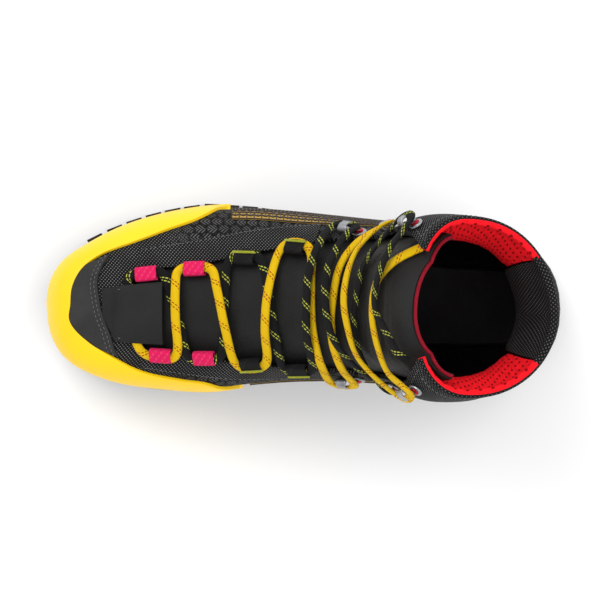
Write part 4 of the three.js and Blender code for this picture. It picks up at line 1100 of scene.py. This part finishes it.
def seatFrame(u, v, depth):
    normal, back, side = [Vector(axis[0]) for axis in surfaceFrame(*arrays(u, v))]
    middle = Vector(onLast(u, v, depth)[0])
    return Matrix.Translation(middle) @ Matrix((side, normal, back)).transposed().to_4x4()


def makeLoop(side, index):
    front, rear, v = loops[side][index]
    place = seatFrame((front + rear) / 2, sideSign[side] * v, loop["seat"])
    half, rise, wall = loop["half"], loop["rise"], loop["wall"]
    bm = unitGrid(*loop["cells"])
    tags = bm.verts.layers.int.new("order")
    x, y = flatSpots(bm)[:, :2].T
    mapCloth(bm, zip(x * loop["length"] * mm, y * 4 * (half + rise) * mm))
    angle = y * turn + math.pi
    inside = list(bm.verts)
    for i, vertex in enumerate(inside):
        vertex[tags] = i
    outside = extruded(bm, bm.faces[:])[0]

    def ring(extra):
        reach = ovalReach(angle, loop["power"])
        puff = extra + loop["puff"] * np.sin(x * math.pi)
        wide = reach * np.cos(angle) * (half + puff)
        high = reach * np.sin(angle) * (rise + puff)
        return np.stack([wide, high, (x - 0.5) * loop["length"]], 1) * mm

    setPlaces(inside, ring(0.0))
    setPlaces(outside, ring(wall)[readLayer(outside, tags)])
    seam = [f for f in bm.faces if all(abs(y[p[tags]] - 0.5) > 0.499 for p in f.verts)]
    bmesh.ops.delete(bm, geom=seam, context="FACES_ONLY")
    bmesh.ops.remove_doubles(bm, verts=bm.verts[:], dist=0.01 * mm)
    roundOff(mended(bm), cornerEdges(bm), loop["edge"])
    bmesh.ops.transform(bm, matrix=place, verts=bm.verts[:])
    pink = index < 2
    tape = toObject(f"lace_loop_{side}_{index + 1}_tape", bm, finishes["pinkTape" if pink else "darkTape"])
    settle(tape, "lower", [f"lace_loop_{side}_{index + 1}"])
    if pink:
        return
    z = np.linspace(-edgeThread["reach"], edgeThread["reach"], edgeThread["steps"]) * loop["length"]
    across, height = sideSign[side] * edgeThread["across"], rise + wall + edgeThread["above"]
    line = np.array([place @ Vector((across * mm, height * mm, spot * mm)) for spot in z])
    up = np.repeat(np.array([place.to_3x3() @ Vector((0, 1, 0))]), len(z), 0)
    bm = tube(line, up, *edgeThread["halves"], edgeThread["sides"])
    settle(toObject(f"loop_edge_{side}_{index + 1}", bm, finishes["yellowThread"]), "lower")


hook = {"width": 6.4, "wall": 1.0, "inner": 2.4, "centre": -1.8, "tip": 2.4, "tipDrop": 0.5, "taper": 0.22,
        "steps": 14, "columns": 6, "edge": 0.28, "seat": 0.6}
plate = {"half": 3.6, "length": 9.0, "gap": 0.4, "sides": 40, "edge": 0.3}
# The rivet's domed head with its dimple: height of each step, and scale
rivet = {"radius": 1.5, "sides": 28, "steps": [(1.25, 1.0), (0.0, 2.6 / 1.5), (0.35, 0.96), (0.3, 0.75),
                                               (0.08, 0.6), (-0.25, 0.7)]}
hooks = {
    "lateral": [(9.75, 0.148), (11.75, 0.158), (15, 0.15)],
    "medial": [(9.4, 0.183), (11.75, 0.165), (15, 0.148)],
}


# A strip bent round the lace: a flat foot, a half turn and a lip
def addCurl(bm):
    width, wall, radius = hook["width"] * mm, hook["wall"] * mm, (hook["inner"] + hook["wall"] / 2) * mm
    centre, low = hook["centre"] * mm, wall / 2
    foot = bm.verts.new((plate["half"] * mm, low, -width / 2))
    bend = bm.verts.new((centre, low, -width / 2))
    bm.edges.new((foot, bend))
    spun = bmesh.ops.spin(bm, geom=[bend], cent=(centre, low + radius, 0), axis=(0, 0, 1), angle=-math.pi,
                          steps=hook["steps"])
    last = only(bmesh.types.BMVert, spun["geom_last"])[0]
    lip = bm.verts.new((hook["tip"] * mm, low + 2 * radius - hook["tipDrop"] * mm, -width / 2))
    bm.edges.new((last, lip))
    edges = bm.edges[:]
    for _ in range(hook["columns"]):
        grown = bmesh.ops.extrude_edge_only(bm, edges=edges)["geom"]
        edges, moved = only(bmesh.types.BMEdge, grown), only(bmesh.types.BMVert, grown)
        bmesh.ops.translate(bm, verts=moved, vec=(0, 0, width / hook["columns"]))
    for vertex in bm.verts:
        above = max(0, vertex.co.y - low - radius)
        vertex.co.z *= 1 - hook["taper"] * above / radius
    bmesh.ops.solidify(mended(bm), geom=bm.faces[:], thickness=wall)
    lowest = min(vertex.co.y for vertex in bm.verts)
    bmesh.ops.translate(mended(bm), verts=bm.verts[:], vec=(0, -lowest, 0))
    roundOff(bm, cornerEdges(bm, 1.0), hook["edge"])


# The plate behind the curl, wider and longer at its far end
def addPlate(bm, spot):
    disc = bmesh.ops.create_circle(bm, cap_ends=True, radius=1.0, segments=plate["sides"])["verts"]
    for vertex in disc:
        x, y = vertex.co.x, vertex.co.y
        wide, long = (1.031, 1.25) if y < 0 else (1.05, 1)
        vertex.co = (x * plate["half"] * mm * wide, 0, spot + y * plate["length"] / 2 * mm * long)
    raised = extruded(bm, list({face for vertex in disc for face in vertex.link_faces}))[0]
    bmesh.ops.translate(bm, verts=raised, vec=(0, hook["wall"] * mm, 0))
    top = [e for e in mended(bm).edges if all(vertex in raised for vertex in e.verts)]
    roundOff(bm, top, plate["edge"])


def makeHook(side, index):
    u, v = hooks[side][index]
    place = seatFrame(u, sideSign[side] * v, hook["seat"])
    body = "lower" if index == 0 else "cuff"
    spot = (hook["width"] / 2 + plate["length"] / 2 + plate["gap"]) * mm
    bm = bmesh.new()
    addCurl(bm)
    addPlate(bm, spot)
    if side == "medial":
        bmesh.ops.scale(bm, vec=(-1, 1, 1), verts=bm.verts[:])
        bmesh.ops.reverse_faces(bm, faces=bm.faces[:])
    bmesh.ops.transform(bm, matrix=place, verts=bm.verts[:])
    piece = toObject(f"lace_hook_{side}_{index + 1}_steel", bm, finishes["metal"], sharp=45)
    settle(piece, body, [f"lace_hook_{side}_{index + 1}"])

    bm = bmesh.new()
    bmesh.ops.create_circle(bm, cap_ends=True, radius=rivet["radius"] * mm, segments=rivet["sides"])
    faces = bm.faces[:]
    for height, scale in rivet["steps"]:
        ring, faces = extruded(bm, faces)
        bmesh.ops.translate(bm, verts=ring, vec=(0, 0, height * mm))
        bmesh.ops.scale(bm, vec=(scale, scale, 1), verts=ring)
    stand = Matrix.Translation((0, 0, spot)) @ Matrix.Rotation(-math.pi / 2, 4, "X")
    bmesh.ops.transform(mended(bm), matrix=place @ stand, verts=bm.verts[:])
    piece = toObject(f"hook_rivet_{side}_{index + 1}_head", bm, finishes["redMetal"], sharp=50)
    settle(piece, body, [f"hook_rivet_{side}_{index + 1}"])


hookLace = hook["seat"] + hook["wall"] + hook["inner"] + 0.35


def routePoint(u, v, height, shift=0.0):
    return (u, v, height, shift)


def over(u, v):
    return routePoint(u, v, lace["over"])


def under(u, v):
    return routePoint(u, v, lace["under"])


def passThrough(u, v, height, reach):
    return [routePoint(u, v, height, -reach), routePoint(u, v, height, reach)]


def loopPass(side, i):
    front, rear, v = loops[side][i]
    return passThrough((front + rear) / 2, sideSign[side] * v, loop["seat"], loop["length"] / 2 + 2.8)


def hookPass(side, i):
    u, v = hooks[side][i]
    return passThrough(u, sideSign[side] * v, hookLace, hook["width"] / 2 + 3.6)


def hookExit(side, i):
    u, v = hooks[side][i]
    return routePoint(u, sideSign[side] * (v - 0.022), hookLace + 0.6, hook["width"] / 2 + 3.8)


laceRoutes = {
    "yellow": [
        under(4.3, -0.02), under(4.34, -0.065), *loopPass("medial", 0), over(5.32, -0.03), over(5.32, 0.02),
        *loopPass("lateral", 1), over(6.3, 0.02), over(6.5, -0.05), *loopPass("medial", 2), over(7.5, -0.05),
        over(7.6, 0.02), *loopPass("lateral", 3), under(8.95, 0.04), under(8.98, -0.01), under(9.02, -0.06),
        routePoint(9.1, -0.12, 2.8), *hookPass("medial", 0), routePoint(9.85, -0.13, 3.2), under(9.9, -0.08),
        under(10.05, -0.04), under(10.15, 0), under(10.35, 0.07), routePoint(10.7, 0.12, 2.6),
        *hookPass("lateral", 1), hookExit("lateral", 1), over(11.7, 0.09), over(11.4, 0.03),
        over(11.65, -0.03), over(12.3, -0.09), *hookPass("medial", 2), hookExit("medial", 2),
        routePoint(14.4, -0.1, 2.4),
        under(13.8, -0.05), under(13.5, 0), under(13.9, 0.045), routePoint(15, 0.076, 0.2),
        routePoint(15.8, 0.1, -4.2), routePoint(16.2, 0.114, -6.2),
    ],
    "black": [
        under(4.3, 0.006), under(4.2, 0.028), *loopPass("lateral", 0), under(5.2, 0), under(5.4, -0.05),
        *loopPass("medial", 1), under(6.4, -0.05), under(6.42, 0.02), *loopPass("lateral", 2),
        under(7.5, 0.02), under(7.7, -0.06), *loopPass("medial", 3), over(8.9, -0.06), over(8.95, 0),
        over(9, 0.05),
        over(9.2, 0.1), *hookPass("lateral", 0), routePoint(10.05, 0.12, 4.4), over(9.95, 0.06),
        over(10.05, 0), over(10.35, -0.06), routePoint(10.7, -0.122, 3), *hookPass("medial", 1),
        hookExit("medial", 1), under(11.85, -0.09), under(11.75, -0.03), under(12.1, 0.03), under(12.5, 0.08),
        *hookPass("lateral", 2), routePoint(15.05, 0.095, 4.4), over(14.4, 0.04), over(14.4, 0),
        routePoint(14.9, -0.03, 3.4), routePoint(15.4, -0.07, 0.8), routePoint(15.8, -0.092, -2.4),
    ],
}


def eased(values, times):
    for _ in range(times):
        values[1:-1] = 0.25 * values[:-2] + 0.5 * values[1:-1] + 0.25 * values[2:]
    return values


def makeLace(name):
    u, v, height, shift = np.array(laceRoutes[name], float).T
    normal, back = surfaceFrame(u, v)[:2]
    steps = np.linspace(0, 1, (len(u) - 1) * lace["step"] + 1)
    line = eased(throughPoints(onLast(u, v, height) + back * shift[:, None] * mm, steps), 3)
    up = eased(throughPoints(normal, steps), 4)
    bm = tube(line, unit(up), lace["width"] / 2, lace["thickness"] / 2, lace["sides"], power=2.6)
    piece = toObject(f"lace_{name}", bm, finishes[f"{name}Lace"], sharp=60)
    settle(piece, "ankle", [f"lace_{name}_{part}" for part in ("lower", "ankle", "upper")])
    print(f"{name} lace: {lengthsAlong(line)[-1]:.3f} m over the boot")


stitch = {"pitch": 2.7, "length": 1.9, "width": 0.42, "height": 0.34, "inset": 0.008, "above": 0.05}


def stitchAlong(bm, line, up):
    lengths = lengthsAlong(line)
    sizes = (stitch["length"] / 2, stitch["width"] / 2, stitch["height"])
    for at in np.arange(stitch["pitch"] * mm / 2, lengths[-1], stitch["pitch"] * mm):
        i = min(len(line) - 2, int(np.searchsorted(lengths, at)) - 1)
        share = (at - lengths[i]) / max(lengths[i + 1] - lengths[i], 1e-9)
        middle = mix(line[i], line[i + 1], share)
        along = Vector(line[i + 1] - line[i]).normalized()
        lift = Vector(up[i])
        across = lift.cross(along).normalized()
        lift = along.cross(across)
        axes = [axis * size * mm for axis, size in zip((along, across, lift), sizes)]
        place = Matrix.Translation(Vector(middle)) @ Matrix(axes).transposed().to_4x4()
        bmesh.ops.create_icosphere(bm, subdivisions=1, radius=1.0, matrix=place)


def seamLine(u, v, depth):
    u, v = arrays(u, v)
    return onLast(u, v, depth), surfaceFrame(u, v)[0]


def makeStitching():
    bm = bmesh.new()
    t = np.linspace(0, 1, 160)
    inset, above = stitch["inset"], stitch["above"]
    u, v = fromChart(throughPoints(chart(toeCap["rearEdge"]), t))
    for shift in (-0.09, -0.2):
        stitchAlong(bm, *seamLine(u + shift, v, toeCap["wall"] + above))
    for side, sign in sideSign.items():
        u = mix(facing["start"] + 0.1, facing["end"] - 0.05, t)
        outer = throat(u, edgeColumn[side]) + facing["inset"] + facing["width"] - inset
        stitchAlong(bm, *seamLine(u, sign * outer, facing["wall"] + above))
    u = mix(3.95, cover["rear"] - 0.1, t)
    height = cover["laceUnder"] + cover["laceHeight"] / 2 + cover["wall"] - 0.45
    for v in (cover["medial"] + inset, cover["lateral"] - inset):
        stitchAlong(bm, *seamLine(u, v, height))
    settle(toObject("seam_stitching", bm, finishes["thread"], sharp=180), "lower")
    bm = bmesh.new()
    for side, sign in sideSign.items():
        u = mix(11.6, rimStation - 0.15, t)
        stitchAlong(bm, *seamLine(u, sign * (throat(u, edgeColumn[side]) + 0.014), 0.08))
    v = np.linspace(0.13, 0.87, 260)
    stitchAlong(bm, *seamLine(rimStation - 0.35, v, 0.08))
    settle(toObject("cuff_stitching", bm, finishes["thread"], sharp=180), "ankle")


# Hidden pieces keep their shape and take a finish
kept = {"lasting_board": "board", "toe_puff": "stiffener", "heel_stiffener": "stiffener"}


def finishKept():
    for name, finishName in kept.items():
        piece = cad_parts[name]
        piece.data.materials.clear()
        piece.data.materials.append(finishes[finishName])


makeUpper()
makeRand()
makeRearRand()
makeToeCap()
for side, sign in sideSign.items():
    makeBand(side, sign)
    makeFacing(side, sign)
print("upper made")
makeTongue()
makeCover()
for place in pads:
    makePad(place)
makeBinding()
makeLining()
makeFootbed()
print("tongue, collar and lining made")
makeMidsole()
for name in moulded:
    makeMoulded(name)
finishKept()
print("sole made")
for side in sideSign:
    for index in range(len(loops[side])):
        makeLoop(side, index)
    for index in range(len(hooks[side])):
        makeHook(side, index)
for name in laceRoutes:
    makeLace(name)
makeStitching()
print("lace, fittings and stitching made")


studio = {
    "floorSize": 6.0,
    "floorShade": 0.93,
    "world": 0.80,
    "key": {"at": (0.9, -1.1, 1.7), "size": 1.4, "power": 22},
    "fill": {"at": (-0.9, 1.0, 1.5), "size": 1.8, "power": 12},
    "rear": {"at": (-1.1, -0.7, 1.2), "size": 1.2, "power": 8},
    "lit": (0.11, 0, 0.08),
    "eye": (0.1185, -0.040, 2.0),
    "target": (0.1185, -0.005, 0.0),
    "lens": 204.8,
}


def makeFloor():
    bm = bmesh.new()
    bmesh.ops.create_grid(bm, x_segments=8, y_segments=8, size=studio["floorSize"] / 2)
    material = finish("pale floor", Base_Color=grey(studio["floorShade"]), Roughness=0.7)
    toObject("floor", bm, material)


def aim(thing, eye, target, upHint):
    forward = (Vector(target) - Vector(eye)).normalized()
    right = forward.cross(Vector(upHint)).normalized()
    up = right.cross(forward)
    turned = Matrix((right, up, -forward)).transposed().to_4x4()
    thing.matrix_world = Matrix.Translation(Vector(eye)) @ turned


def addLights():
    world = bpy.data.worlds.new("studio")
    bpy.context.scene.world = world
    world.use_nodes = True
    background = world.node_tree.nodes["Background"]
    background.inputs["Color"].default_value = (1, 1, 1, 1)
    background.inputs["Strength"].default_value = studio["world"]
    for name in ("key", "fill", "rear"):
        settings = studio[name]
        light = bpy.data.lights.new(name, "AREA")
        light.size = settings["size"]
        light.energy = settings["power"]
        aim(addObject(name, light), settings["at"], studio["lit"], (0, 0, 1))


def addCamera():
    bpy.context.scene.view_settings.view_transform = "Standard"
    data = bpy.data.cameras.new("camera")
    data.lens = studio["lens"]
    data.sensor_width = 36
    data.clip_end = 20
    camera = addObject("camera", data)
    aim(camera, studio["eye"], studio["target"], (0, -1, 0))
    bpy.context.scene.camera = camera


makeFloor()
addLights()
addCamera()
